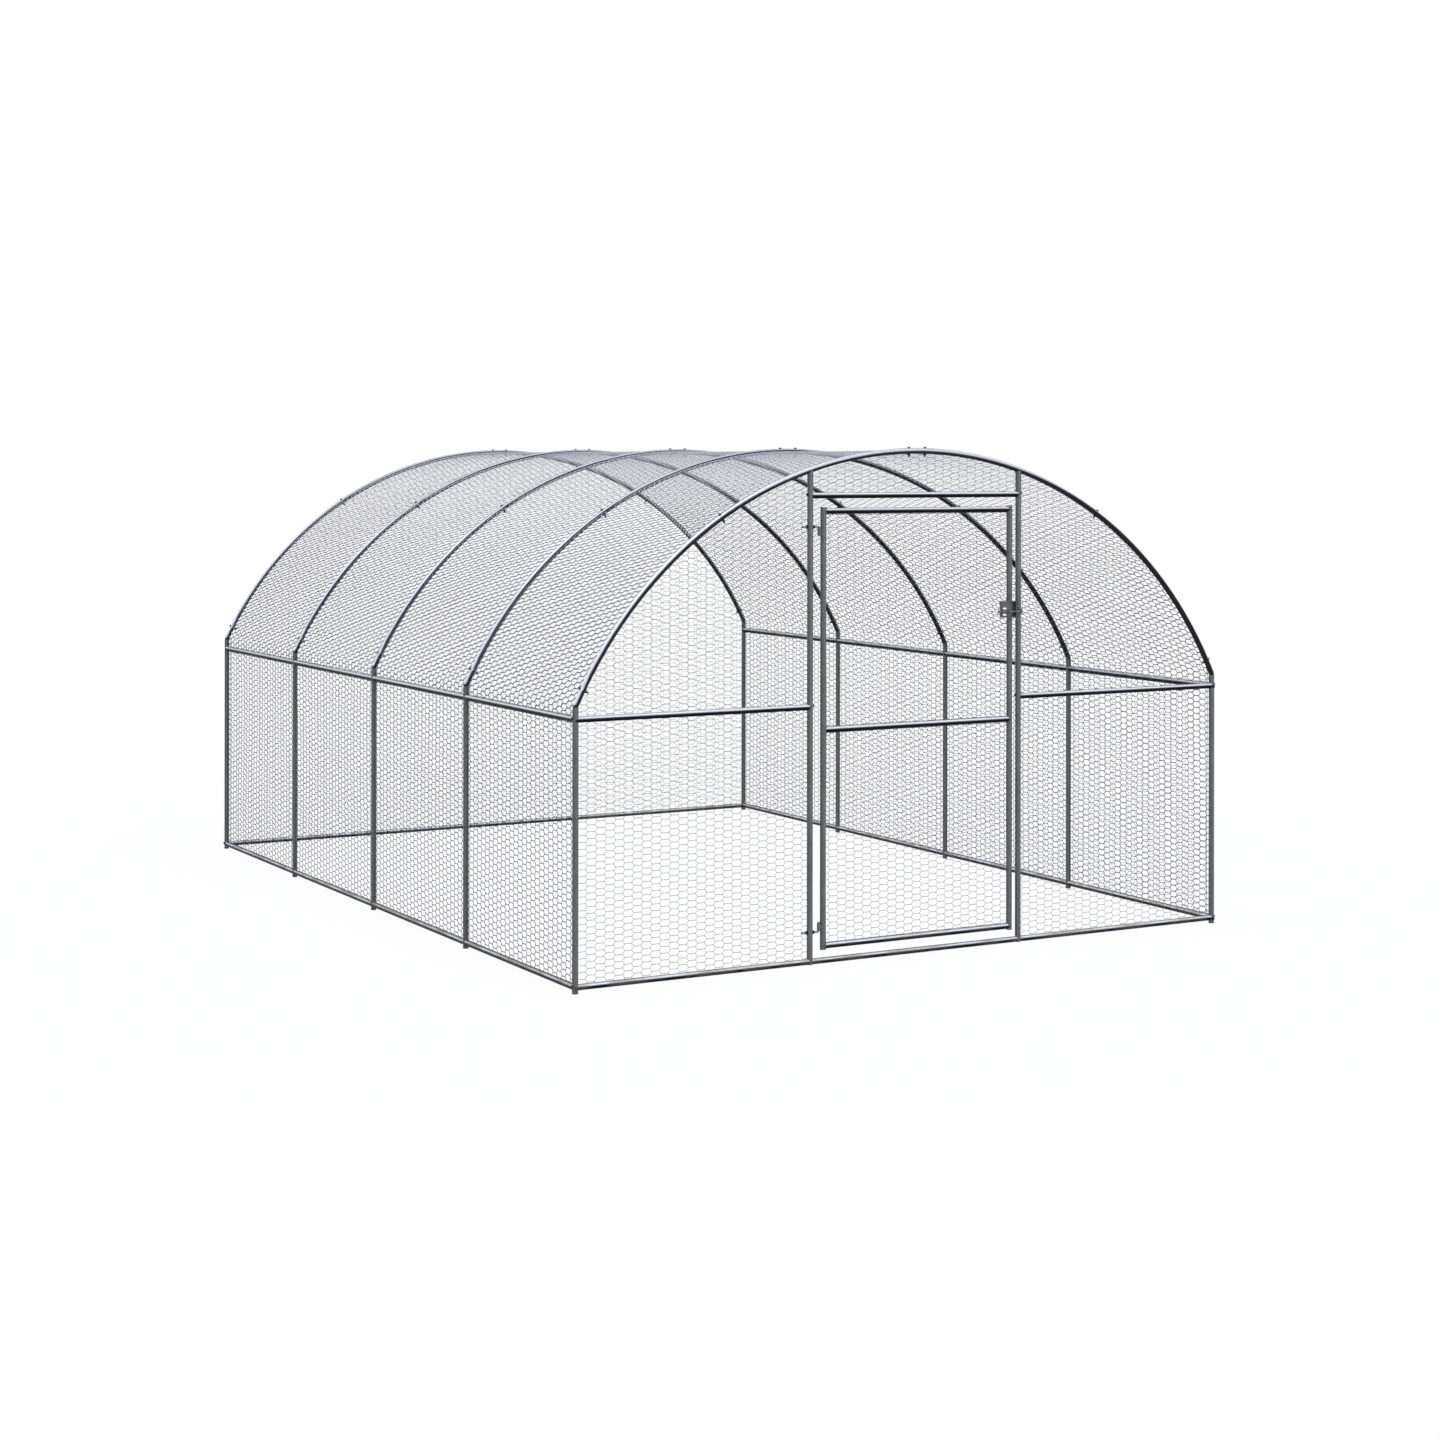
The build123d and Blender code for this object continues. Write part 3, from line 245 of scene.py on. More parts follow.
# %% [markdown]
# ## Measuring the frame
#
# The netting has to meet the tubes, so its fields are measured from the frame that was
# loaded, not typed in again. A post's box gives the row it stands in and the tube's radius;
# the arch's circle follows from the posts, the ridge and the height of the bend.


# %% Measure posts, rows and the arch
def middle(node):
    """The middle of a node's box."""
    low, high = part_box(node)
    return (low + high) / 2


BAYS = 4
BEND_HEIGHT = 1.05
rows = [middle(f"post_left_{row + 1}").y for row in range(BAYS + 1)]
post_x = middle("post_right_1").x
tube_radius = (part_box("post_right_1")[1].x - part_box("post_right_1")[0].x) / 2
ridge_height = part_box("arch_1")[1].z - tube_radius
arch_rise = ridge_height - BEND_HEIGHT
arch_radius = (post_x**2 + arch_rise**2) / (2 * arch_rise)
arch_centre = ridge_height - arch_radius
arch_reach = np.arcsin(post_x / arch_radius)
print("rows", [round(row, 3) for row in rows])
print("arch radius", round(arch_radius, 4), "tube radius", round(tube_radius, 4))

# %% [markdown]
# ## Zinc
#
# Tubes, fittings and wire are all steel under zinc, each in its own state. Hot zinc freezes into flat
# crystals, the spangle, and outdoors it dulls in cloudy patches. The group also paints light and shade into
# the colour: a painted highlight on the upper side of a tube and painted shade on its underside, in place of
# the light from above. That is one effect with different strengths, so it is one node group: it puts out a
# colour, a roughness and a height, and each material feeds its own shader.
#
# Tone is the plain zinc. The group also takes the colour of the painted highlight on top, the colour of the
# painted shade underneath, how strongly the two show, and where they meet on the flank of a tube.

# %% Node group: sockets of weathered zinc and its painted light
ZINC_INPUTS = {
    "Tone": (0.2, 0.2, 0.21, 1.0),
    "Pale": (0.6, 0.6, 0.6, 1.0),
    "Dark": (0.03, 0.03, 0.035, 1.0),
    "Crystals": 130.0,
    "Spangle": 0.2,
    "Rain": 0.0,
    "Waterline": 0.1,
    "Lift": 0.0,
    "Arched": 0.0,
    "Shelter": 0.0,
    "Crown": 0.0,
    "Driven": 0.0,
    "Gloss": 0.4,
}
ZINC_OUTPUTS = {"Color": "NodeSocketColor", "Roughness": "NodeSocketFloat", "Height": "NodeSocketFloat"}
zinc, given, made = new_group("weathered_zinc", ZINC_INPUTS, ZINC_OUTPUTS)
plus = partial(combine, zinc, "ADD")
minus = partial(combine, zinc, "SUBTRACT")
times = partial(combine, zinc, "MULTIPLY")
share_of = partial(combine, zinc, "DIVIDE")
larger = partial(combine, zinc, "MAXIMUM")
smaller = partial(combine, zinc, "MINIMUM")
print("group", zinc.name, "takes", len(ZINC_INPUTS), "values")

# %% Node group: spangle and bloom
CLOUD_SCALE = 9.0
CLOUD_STRENGTH = 0.5
GRAIN_SCALE = 700.0
where = add_node(zinc, "ShaderNodeTexCoord").outputs
cells = add_node(zinc, "ShaderNodeTexVoronoi", Vector=where["Object"], Scale=given["Crystals"])
crystal = add_node(zinc, "ShaderNodeSeparateColor", Color=cells.outputs["Color"]).outputs[0]
clouds = noise(zinc, where["Object"], CLOUD_SCALE, detail=5.0)
grain = noise(zinc, where["Object"], GRAIN_SCALE, detail=2.0)
flake = times(minus(crystal, 0.5), given["Spangle"])
cloud = times(minus(clouds, 0.5), CLOUD_STRENGTH)
lightness = plus(1.0, plus(flake, cloud))
plain = mix_colour(zinc, 1.0, given["Tone"], lightness, "MULTIPLY")
print("plain zinc:", len(zinc.nodes), "nodes so far")

# %% [markdown]
# ### Painted highlight above, painted shade below
#
# How far a surface faces up tells where the painted highlight and the painted shade go; they stand in for the
# light from above. On a sloping tube even the uppermost line faces up less, so Arched measures the facing as
# a share of the most that the slope allows. Lift takes the line between highlight and shade lower towards the
# ridge, which leaves a thinner dark line there, and a fade dims the painted highlight towards the ridge as
# painted shade. The very top of a level tube stays plain.

# %% Node group: painted highlight on tops and painted shade on undersides
LEAST_SLOPE = 0.4
LIFT_HEIGHTS = (1.7, 1.98)
SHELTER_HEIGHTS = (1.5, 1.8)
PALE_EDGE = (0.0, 0.32)
DARK_EDGE = (0.04, -0.22)
LEVEL_FACING = (0.7, 0.92)
LEVEL_LOSS = 0.8
facing = add_node(zinc, "ShaderNodeSeparateXYZ", Vector=where["Normal"]).outputs[2]
height = add_node(zinc, "ShaderNodeSeparateXYZ", Vector=where["Object"]).outputs[2]
slope = share_of(minus(height, arch_centre), arch_radius)
slope = smaller(larger(slope, LEAST_SLOPE), 1.0)
most = plus(1.0, times(given["Arched"], minus(slope, 1.0)))
lifted = times(ramp(zinc, height, *LIFT_HEIGHTS), given["Lift"])
above = minus(share_of(facing, most), minus(given["Waterline"], lifted))
level = minus(1.0, ramp(zinc, facing, *LEVEL_FACING, 0.0, LEVEL_LOSS))
# Painted shade: dims the painted highlight towards the ridge.
sheltered = times(ramp(zinc, height, *SHELTER_HEIGHTS), given["Shelter"])
washed = times(given["Rain"], minus(1.0, sheltered))
# Painted highlight on the upper side of a tube, in place of light from above.
top = times(times(ramp(zinc, above, *PALE_EDGE), level), washed)
# Painted shade on the underside of a tube.
under = times(ramp(zinc, above, *DARK_EDGE), given["Rain"])
print("rain and shade:", len(zinc.nodes), "nodes so far")

# %% [markdown]
# ### Painted light on the roof wires
#
# Thousands of thin wires show no line between highlight and shade of their own; what shows is whole wires
# that are lighter or darker. Crown pales the flanks and undersides of the wires near the ridge, where the
# netting is seen almost edge on: painted light, in place of the light those wires would catch from below. A
# painted glint pales the wires that face the front and the sky, in place of the gleam of the overhead lamp on
# them, so that one slant of each hexagon is lighter than the other.

# %% Node group: painted light near the ridge and a painted glint
CROWN_HEIGHTS = (1.5, 1.96)
CROWN_FACING = (-0.3, 0.4, 1.0, 0.1)
WEATHER_SIDE = (0.0, -0.69, 0.72)
WEATHER_EDGE = (0.64, 0.86)
# Painted light: paler flanks and undersides of the wires near the ridge.
crown = times(ramp(zinc, height, *CROWN_HEIGHTS), given["Crown"])
crown = times(crown, ramp(zinc, facing, *CROWN_FACING))
dot = {"operation": "DOT_PRODUCT"}
# Painted glint on the wires that face the front and the sky.
windward = add_node(zinc, "ShaderNodeVectorMath", dot, i0=where["Normal"], i1=WEATHER_SIDE).outputs["Value"]
driven = times(ramp(zinc, windward, *WEATHER_EDGE), given["Driven"])
pale_share = larger(larger(top, crown), driven)
# Mixes in the painted highlight colour, then the painted shade colour.
rained = mix_colour(zinc, pale_share, plain, given["Pale"])
shaded = mix_colour(zinc, under, rained, given["Dark"])
print("roof wires:", len(zinc.nodes), "nodes so far")

# %% Node group: splashed feet and outputs
SOIL = (0.16, 0.14, 0.115)
SPLASH_HEIGHT = 0.16
SPLASH_CLOUDS = (0.4, 0.62, 0.0, 0.5)
UNEVEN_GLOSS = 0.16
SOIL_ROUGHNESS = 0.4
CRYSTAL_RELIEF = 0.6
GRAIN_RELIEF = 0.4
splash = times(ramp(zinc, height, SPLASH_HEIGHT, 0.0), ramp(zinc, clouds, *SPLASH_CLOUDS))
soiled = mix_colour(zinc, splash, shaded, SOIL)
clean = plus(given["Gloss"], times(minus(clouds, crystal), UNEVEN_GLOSS))
rough = plus(clean, times(splash, SOIL_ROUGHNESS))
uneven = plus(times(crystal, CRYSTAL_RELIEF), times(grain, GRAIN_RELIEF))
for label, result in (("Color", soiled), ("Roughness", rough), ("Height", uneven)):
    zinc.links.new(result, made[label])
print("group", zinc.name, "has", len(zinc.nodes), "nodes")

# %% [markdown]
# ## Zinc in its states
#
# Uprights weather evenly all round and get no painted light. Rails and arches have a painted highlight on top
# and painted shade underneath; the front arch has the brightest painted highlight, while the inner arches'
# highlight is dimmed towards the ridge as painted shade. Fittings are plated, bolts blackened, and both carry
# a faint painted highlight and shade. One material for all would be simpler, but then uprights, rails and
# arches would look alike. Each face of the netting has wire of its own tone too: ends, sides, and the roof's
# two slopes. These tones are painted light, lighter or darker as each face is lit, and their bluish cast
# paints in a cool light from the sky.


# %% Materials: tubes
def zinc_material(name, metallic, shine, relief, **values):
    """Steel under zinc: the group drives colour, roughness and a fine relief."""
    material, tree, shader = new_material(name)
    coat = tree.nodes.new("ShaderNodeGroup")
    coat.node_tree = zinc
    for key, value in values.items():
        coat.inputs[key].default_value = (*value, 1.0) if isinstance(value, tuple) else value
    tree.links.new(coat.outputs["Color"], shader.inputs["Base Color"])
    tree.links.new(coat.outputs["Roughness"], shader.inputs["Roughness"])
    shader.inputs["Metallic"].default_value = metallic
    shader.inputs["Specular IOR Level"].default_value = shine
    if relief:
        bump = add_node(tree, "ShaderNodeBump", Strength=0.25, Distance=relief, Height=coat.outputs["Height"])
        tree.links.new(bump.outputs["Normal"], shader.inputs["Normal"])
    return material


tube = dict(metallic=0.25, relief=0.0002, Crystals=120.0, Spangle=0.25)
# Rails and arches carry a painted highlight on top and painted shade below.
arch = dict(tube, shine=0.1, Tone=(0.15, 0.15, 0.18), Dark=(0.014, 0.014, 0.018), Arched=1.0, Rain=1.0,
            Gloss=0.45)
upright_zinc = zinc_material("galvanised_upright", shine=0.25, Tone=(0.135, 0.135, 0.14), Gloss=0.42, **tube)
level_zinc = zinc_material("galvanised_rail", shine=0.06, Tone=(0.13, 0.13, 0.14), Pale=(0.86, 0.85, 0.94),
                           Dark=(0.004, 0.004, 0.006), Rain=1.0, Waterline=0.18, Gloss=0.45, **tube)
# The front arch gets the brightest painted highlight.
front_arch_zinc = zinc_material("galvanised_front_arch", Pale=(0.9, 0.88, 0.96), Waterline=0.42, Lift=0.44,
                                Shelter=0.42, **arch)
arch_zinc = zinc_material("galvanised_arch", Pale=(0.8, 0.78, 0.9), Waterline=0.46, Shelter=0.6, **arch)
print("tubes:", upright_zinc.name, level_zinc.name, front_arch_zinc.name, arch_zinc.name)

# %% Materials: fittings and wire
small = dict(relief=0.0001, Crystals=400.0, Spangle=0.1)
wire = dict(relief=0.0, Crystals=60.0, Spangle=0.15)
roof = dict(wire, metallic=0.3, shine=0.2, Pale=(0.9, 0.9, 0.97), Crown=0.8, Gloss=0.45)
# Fittings and bolts carry a faint painted highlight and painted shade.
fitting_zinc = zinc_material("plated_fittings", metallic=0.5, shine=0.4, Tone=(0.18, 0.18, 0.18),
                             Pale=(0.36, 0.36, 0.37), Dark=(0.03, 0.03, 0.035), Rain=0.5, Gloss=0.36, **small)
bolt_zinc = zinc_material("blackened_bolts", metallic=0.4, shine=0.2, Tone=(0.014, 0.014, 0.016),
                          Pale=(0.035, 0.035, 0.04), Dark=(0.006, 0.006, 0.008), Rain=0.6, Gloss=0.42,
                          **small)
# Each face's wire tone is painted light, with a bluish cast painted in for a cool light from the sky.
end_wire = zinc_material("galvanised_end_wire", metallic=0.2, shine=0.15, Tone=(0.072, 0.07, 0.115),
                         Pale=(0.3, 0.3, 0.36), Dark=(0.03, 0.03, 0.035), Rain=0.4, Gloss=0.5, **wire)
side_wire = zinc_material("galvanised_side_wire", metallic=0.2, shine=0.1, Tone=(0.074, 0.079, 0.14),
                          Gloss=0.5, **wire)
# The left roof slope's wire also takes the painted glint.
weather_wire = zinc_material("galvanised_weather_wire", Tone=(0.034, 0.032, 0.085), Driven=0.85, **roof)
lee_wire = zinc_material("galvanised_lee_wire", Tone=(0.085, 0.08, 0.13), **roof)
print("fittings:", fitting_zinc.name, bolt_zinc.name)
print("wire:", [kind.name for kind in (end_wire, side_wire, weather_wire, lee_wire)])

# %% [markdown]
# ## Black plastic plugs
#
# A moulded plug closes each foot. A plain black would do from afar, but moulded plastic is never
# quite black: it has a fine grain from the mould and takes on a patchy film of dust, which is
# paler and rougher than the plastic.

# %% Material: moulded plastic
PLASTIC = (0.014, 0.014, 0.016)
PLASTIC_ROUGHNESS = 0.45
MOULD_GRAIN_SCALE = 900.0
DUST = (0.06, 0.055, 0.048)
DUST_ROUGHNESS = 0.75
DUST_SCALE = 60.0
DUST_EDGE = (0.45, 0.7)
MOST_DUST = 0.5
plug_plastic, tree, shader = new_material("black_plastic")
place = add_node(tree, "ShaderNodeTexCoord").outputs["Object"]
mould_grain = noise(tree, place, MOULD_GRAIN_SCALE, detail=2.0)
dust = ramp(tree, noise(tree, place, DUST_SCALE, detail=4.0), *DUST_EDGE, 0.0, MOST_DUST)
dusty = mix_colour(tree, dust, PLASTIC, DUST)
rough = ramp(tree, dust, 0.0, MOST_DUST, PLASTIC_ROUGHNESS, DUST_ROUGHNESS)
tree.links.new(dusty, shader.inputs["Base Color"])
tree.links.new(rough, shader.inputs["Roughness"])
grain_bump = add_node(tree, "ShaderNodeBump", Strength=0.3, Distance=0.0001, Height=mould_grain)
tree.links.new(grain_bump.outputs["Normal"], shader.inputs["Normal"])
print("plastic:", plug_plastic.name)

# %% [markdown]
# ## Finishing the construction
#
# The construction's nodes arrive as bare shapes. Each could be given its finish by hand, but the
# words in its name and its slot in the record already say what it is, so a short rule picks it.

# %% Give the construction's nodes their finish
finish_of_slot = {"zinc_fittings": fitting_zinc, "wire_net": end_wire, "black_plastic": plug_plastic}


def finish(node, slot):
    """Bolts are dark; uprights weather evenly; rails and arches get a painted highlight above and painted
    shade below.
    """
    words = set(node.split("_"))
    if words & {"bolts", "nuts", "studs"}:
        return bolt_zinc
    if slot in finish_of_slot:
        return finish_of_slot[slot]
    if words & {"arch", "ridge"}:
        return front_arch_zinc if node == "arch_1" else arch_zinc
    return level_zinc if words & {"rail", "rails"} else upright_zinc


subparts = frame["record"]["subparts"]
for subpart in subparts:
    mesh = nodes[subpart["node"]].data
    mesh.materials.clear()
    mesh.materials.append(finish(subpart["node"], subpart["material_slot"]))
print("finished", len(subparts), "nodes")

# %% [markdown]
# ## One wire of the netting
#
# A netting machine twists each wire with its left neighbour, then with its right one, and so
# on down the roll: every wire is one long zigzag, and each hexagon's flat side is a twisted
# pair. A flat texture or a lattice of loose sticks would be quicker, but following the real
# wires gives closed, continuous strands whose twists show when the run is seen close. In the
# net's own coordinates s runs along the flats, t across them and n out of the net.

# %% Follow one wire
COLUMN_PITCH = 0.0383
ROW_PITCH = 0.0253
TWIST_LENGTH = 0.029
TWIST_STEPS = 3
TWIST_OFFSET = 0.5
SLANT_ENDS = (0.12, 0.88)
END_WIRE_RADIUS = 0.0008


def wire_path(lane, s_range, t_low, half_row, wire_radius):
    """Points (s, t, n) of the wire that zigzags between half-row lines lane and lane + 1."""
    first = np.floor(s_range[0] / COLUMN_PITCH) - 1
    last = np.ceil(s_range[1] / COLUMN_PITCH) + 1
    columns = np.arange(first, last + 1)
    upper = (lane + columns) % 2
    step = np.linspace(0.0, 1.0, TWIST_STEPS + 1)
    side = np.where(upper > 0, -1.0, 1.0)[:, None] * TWIST_OFFSET * wire_radius
    s = columns[:, None] * COLUMN_PITCH + TWIST_LENGTH * (step - 0.5)
    t = t_low + (lane + upper)[:, None] * half_row + side * np.cos(2 * pi * step)
    n = side * np.sin(2 * pi * step)
    twist = np.stack([s, t, n], -1)
    start = twist[:, -1:]
    end = np.roll(twist, -1, 0)[:, :1]
    slant = start + np.array(SLANT_ENDS)[None, :, None] * (end - start)
    return np.concatenate([twist, slant], 1).reshape(-1, 3)[:-2]


sample = wire_path(0, (0.0, 1.0), 0.0, ROW_PITCH / 2, END_WIRE_RADIUS)
print("the wire for a metre of netting has", len(sample), "points")

# %% Let the netting hang a little uneven
SLACK_ACROSS = 0.0009
SLACK_OUT = 0.0022


def slack(path):
    """Handling leaves netting slightly uneven: slow waves, in radians to the metre, out of step."""
    s = path[:, 0]
    t = path[:, 1]
    loose = path.copy()
    loose[:, 1] += SLACK_ACROSS * np.sin(5.1 * s + 3.0 * t) * np.sin(7.3 * t + 1.0)
    loose[:, 2] += SLACK_OUT * np.sin(4.3 * s + 0.7) * np.sin(5.9 * t + 2.1 * s)
    return loose


print("slack moves a wire by up to", round(np.abs(slack(sample) - sample).max() * 1000, 2), "mm")

# %% [markdown]
# ## From wires to a mesh
#
# A wire is cut where it leaves its field, then a small triangle of points is carried along it
# to make a closed tube. All wires of a piece go into one mesh through flat arrays, since
# adding over a million faces one by one would take minutes. The mesh also brings its own map:
# every strand is drawn at its own place in the net, so a baked picture of the net needs no
# unwrapping of thousands of islands.

# %% Cut and sweep wires
WIRE_SIDES = 3
NET_OUT = (0.0, 0.0, 1.0)


def runs_inside(path, room):
    """Cuts a wire where it leaves its field; room is positive inside."""
    depth = room(path[:, 0], path[:, 1])
    inside = depth > 0
    runs = []
    run = []
    for here in range(len(path)):
        if inside[here]:
            run.append(path[here])
        if here + 1 < len(path) and inside[here] != inside[here + 1]:
            share = depth[here] / (depth[here] - depth[here + 1])
            run.append(path[here] + share * (path[here + 1] - path[here]))
            if inside[here]:
                runs.append(run)
                run = []
    runs.append(run)
    return [np.array(run) for run in runs if len(run) > 1]


def unit(vectors):
    """The same directions, one long."""
    return vectors / np.linalg.norm(vectors, axis=1, keepdims=True)


def sweep(path, radius, sides, closed, out):
    """Carries a ring of points along a path; out is any direction off the path."""
    if closed:
        along = unit(np.roll(path, -1, 0) - np.roll(path, 1, 0))
    else:
        along = unit(np.gradient(path, axis=0))
    across = unit(np.cross(along, out))
    proud = np.cross(across, along)
    turn = 2 * pi * np.arange(sides) / sides
    ring = across[:, None] * np.cos(turn)[None, :, None] + proud[:, None] * np.sin(turn)[None, :, None]
    radius = np.broadcast_to(radius, len(path))
    return (path[:, None] + ring * radius[:, None, None]).reshape(-1, 3)


swept_sample = sweep(sample, END_WIRE_RADIUS, WIRE_SIDES, False, NET_OUT)
print("swept, that wire has", len(swept_sample), "points")


# %% Make one mesh from flat arrays
def mesh_of_arrays(name, points, corners, sizes, map_points):
    """A smooth mesh from points, the faces' corners in a row, and each face's number of corners."""
    mesh = bpy.data.meshes.new(name)
    mesh.vertices.add(len(points))
    mesh.vertices.foreach_set("co", points.astype(np.float32).ravel())
    mesh.loops.add(len(corners))
    mesh.loops.foreach_set("vertex_index", corners.astype(np.int32))
    mesh.polygons.add(len(sizes))
    starts = np.concatenate([[0], np.cumsum(sizes)[:-1]])
    mesh.polygons.foreach_set("loop_start", starts.astype(np.int32))
    mesh.polygons.foreach_set("use_smooth", np.ones(len(sizes), bool))
    mesh.update(calc_edges=True)
    own_map = mesh.uv_layers.new(name="OFBake")
    own_map.data.foreach_set("uv", map_points[corners].astype(np.float32).ravel())
    return mesh


# %% Collect strands into a piece
MAP_MARGIN = 0.002
MAP_SPREAD = 0.0004


class Strands:
    """Collects swept wires, with a place on the net for each point."""

    def __init__(self):
        self.points = []
        self.places = []
        self.quads = []
        self.ends = []
        self.count = 0

    def add(self, path, radius, sides=WIRE_SIDES, closed=False, places=None, out=NET_OUT):
        """Adds one wire; its place on the net is its path unless other places are given."""
        self.points.append(sweep(path, radius, sides, closed, out))
        places = path[:, :2] if places is None else places
        spread = np.arange(sides)[None, :, None] * np.array((0.0, MAP_SPREAD))
        self.places.append((places[:, None] + spread).reshape(-1, 2))
        number = self.count + np.arange(len(path) * sides).reshape(-1, sides)
        here, there = (number, np.roll(number, -1, 0)) if closed else (number[:-1], number[1:])
        quads = np.stack([here, there, np.roll(there, -1, 1), np.roll(here, -1, 1)], -1)
        self.quads.append(quads.reshape(-1, 4))
        if not closed:
            self.ends += [number[0].tolist(), number[-1][::-1].tolist()]
        self.count += len(path) * sides

    def piece(self, name, lay, material, slot, body):
        """Lays the points in the run's frame and makes the mesh piece."""
        points = lay(np.concatenate(self.points))
        quads = np.concatenate(self.quads)
        end_corners = np.array([corner for end in self.ends for corner in end], int)
        end_sizes = np.array([len(end) for end in self.ends], int)
        corners = np.concatenate([quads.ravel(), end_corners])
        sizes = np.concatenate([np.full(len(quads), 4), end_sizes])
        places = np.concatenate(self.places)
        share = (places - places.min(0)) / (np.ptp(places, axis=0) + MAP_MARGIN)
        map_points = share * (1.0 - 2 * MAP_MARGIN) + MAP_MARGIN
        mesh = mesh_of_arrays(name, points, corners, sizes, map_points)
        mesh.materials.append(material)
        piece = bpy.data.objects.new(name, mesh)
        scene.collection.objects.link(piece)
        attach(piece, body)
        return piece


# %% [markdown]
# ## A field of netting
#
# A field is one opening between tubes. Its rows are stretched by a hair so that a whole number
# of them fills it, as a fitter does when pulling netting tight, and a border wire runs round it,
# except along a seam with the next roll. Fields under the arch are cut along the arch's circle.

# %% Border one field
BORDER_RADIUS = 0.0009
BORDER_SIDES = 5
BORDER_STEP = 0.08
ARC_CORNERS = 25


def field_outline(s_range, t_range, arc):
    """Corners of a field that is level below and, under an arc, follows the arch above."""
    s_low, s_high = s_range
    t_low, t_high = t_range
    if not arc:
        return [(s_low, t_low), (s_high, t_low), (s_high, t_high), (s_low, t_high)]
    centre_s, centre_t, radius = arc
    reach = np.sqrt(radius**2 - (t_low - centre_t) ** 2)
    left = max(s_low, centre_s - reach)
    right = min(s_high, centre_s + reach)
    s = np.linspace(right, left, ARC_CORNERS)
    t = centre_t + np.sqrt(radius**2 - (s - centre_s) ** 2)
    return [(left, t_low), (right, t_low), *zip(s, t)]


def add_border(strands, outline, seams):
    """Runs a border wire round a field, just inside its outline."""
    corners = np.array(outline)
    border = np.zeros((len(corners) + 1, 3))
    border[:-1, :2] = corners - BORDER_RADIUS * np.sign(corners - corners.mean(0))
    border[-1] = border[0]
    bare = {edge for edge, name in ((0, "low"), (2, "high")) if name in seams}
    for edge, (first, second) in enumerate(zip(border[:-1], border[1:])):
        if edge in bare:
            continue
        count = max(2, int(np.linalg.norm(second - first) / BORDER_STEP) + 1)
        strands.add(slack(np.linspace(first, second, count)), BORDER_RADIUS, BORDER_SIDES)


# %% Weave one field
EDGE_REACH = 0.004
pieces = []


def weave(strands, s_range, t_range, arc=None, seams=(), wire_radius=END_WIRE_RADIUS, taper=None):
    """Adds one field; arc is the (centre s, centre t, radius) of a circle that trims it."""
    s_low, s_high = s_range
    t_low, t_high = t_range

    def room(s, t):
        depth = np.minimum(np.minimum(s - s_low, s_high - s), np.minimum(t - t_low, t_high - t) + EDGE_REACH)
        if arc:
            depth = np.minimum(depth, arc[2] - np.hypot(s - arc[0], t - arc[1]))
        return depth

    lanes = 2 * round((t_high - t_low) / ROW_PITCH)
    half_row = (t_high - t_low) / lanes
    for lane in range(lanes):
        path = slack(wire_path(lane, s_range, t_low, half_row, wire_radius))
        for run in runs_inside(path, room):
            strands.add(run, taper(run[:, 1]) if taper else wire_radius)
    add_border(strands, field_outline(s_range, t_range, arc), seams)


def net_piece(name, node, body, lay, material, fields, **weaving):
    """One piece of netting, of one or more fields, in place of the construction's net."""
    strands = Strands()
    for s_range, t_range in fields:
        weave(strands, s_range, t_range, **weaving)
    piece = strands.piece(name, lay, material, "wire_net", body)
    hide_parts(node)
    pieces.append(piece)


# %% [markdown]
# ## Side netting
#
# One roll of netting, a metre wide, covers each side from the base rails to the eave rails,
# its twists level. Each bay is a field in the plane of the posts. Real wire is about a
# millimetre thick; here it is drawn stouter, since so thin a wire all but vanishes when a
# picture is averaged in linear light, and stouter on the sides than at the ends.

# %% Net the sides
SIDE_WIRE_RADIUS = 0.00142
EDGE_GAP = 0.0008
HALVES = {"front": (0, 1), "rear": (2, 3)}


def bay_limits(bay):
    """Where the netting of a bay starts and ends along the run."""
    return rows[bay] + tube_radius + EDGE_GAP, rows[bay + 1] - tube_radius - EDGE_GAP


def in_side_plane(plane_x):
    """Stands a net up along a side: s along the run, t up, n to the right."""
    return lambda points: np.stack([plane_x + points[:, 2], points[:, 0], points[:, 1]], -1)


for side in ("left", "right"):
    node = f"side_nets_{side}"
    low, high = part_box(node)
    lay = in_side_plane((low.x + high.x) / 2)
    for half, bays in HALVES.items():
        fields = [(bay_limits(bay), (low.z, high.z)) for bay in bays]
        net_piece(f"side_netting_{side}_{half}", node, "frame", lay, side_wire, fields,
                  wire_radius=SIDE_WIRE_RADIUS)
print("side netting:", sum(len(piece.data.polygons) for piece in pieces), "faces")

# %% [markdown]
# ## Roof netting
#
# Four more rolls lie side by side over the arches. In the net's own coordinates they are as
# flat as the side ones; a table of the arch's profile, measured by length from the left eave
# over the ridge to the right one, then bends every point over the roof. A bend modifier could do
# that too, but not with the tight turn at the eaves.

# %% Measure the roof's profile
NET_BEND_RADIUS = 0.06
RISE_POINTS = 12
BEND_POINTS = 16
ARC_POINTS = 600
bend_turn = pi / 2 - arch_reach
bend_trim = NET_BEND_RADIUS * np.tan(bend_turn / 2)
eave_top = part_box("roof_nets_left_lower")[0].z
rise = np.linspace(eave_top, BEND_HEIGHT - bend_trim, RISE_POINTS)
bend = np.linspace(0.0, bend_turn, BEND_POINTS)[1:]
arc_turn = np.linspace(-arch_reach + bend_trim / arch_radius, 0.0, ARC_POINTS)[1:]
rise_x = np.full_like(rise, -post_x)
bend_x = -post_x + NET_BEND_RADIUS * (1 - np.cos(bend))
bend_z = rise[-1] + NET_BEND_RADIUS * np.sin(bend)
half_x = np.concatenate([rise_x, bend_x, arch_radius * np.sin(arc_turn)])
half_z = np.concatenate([rise, bend_z, arch_centre + arch_radius * np.cos(arc_turn)])
profile_x = np.concatenate([half_x, -half_x[-2::-1]])
profile_z = np.concatenate([half_z, half_z[-2::-1]])
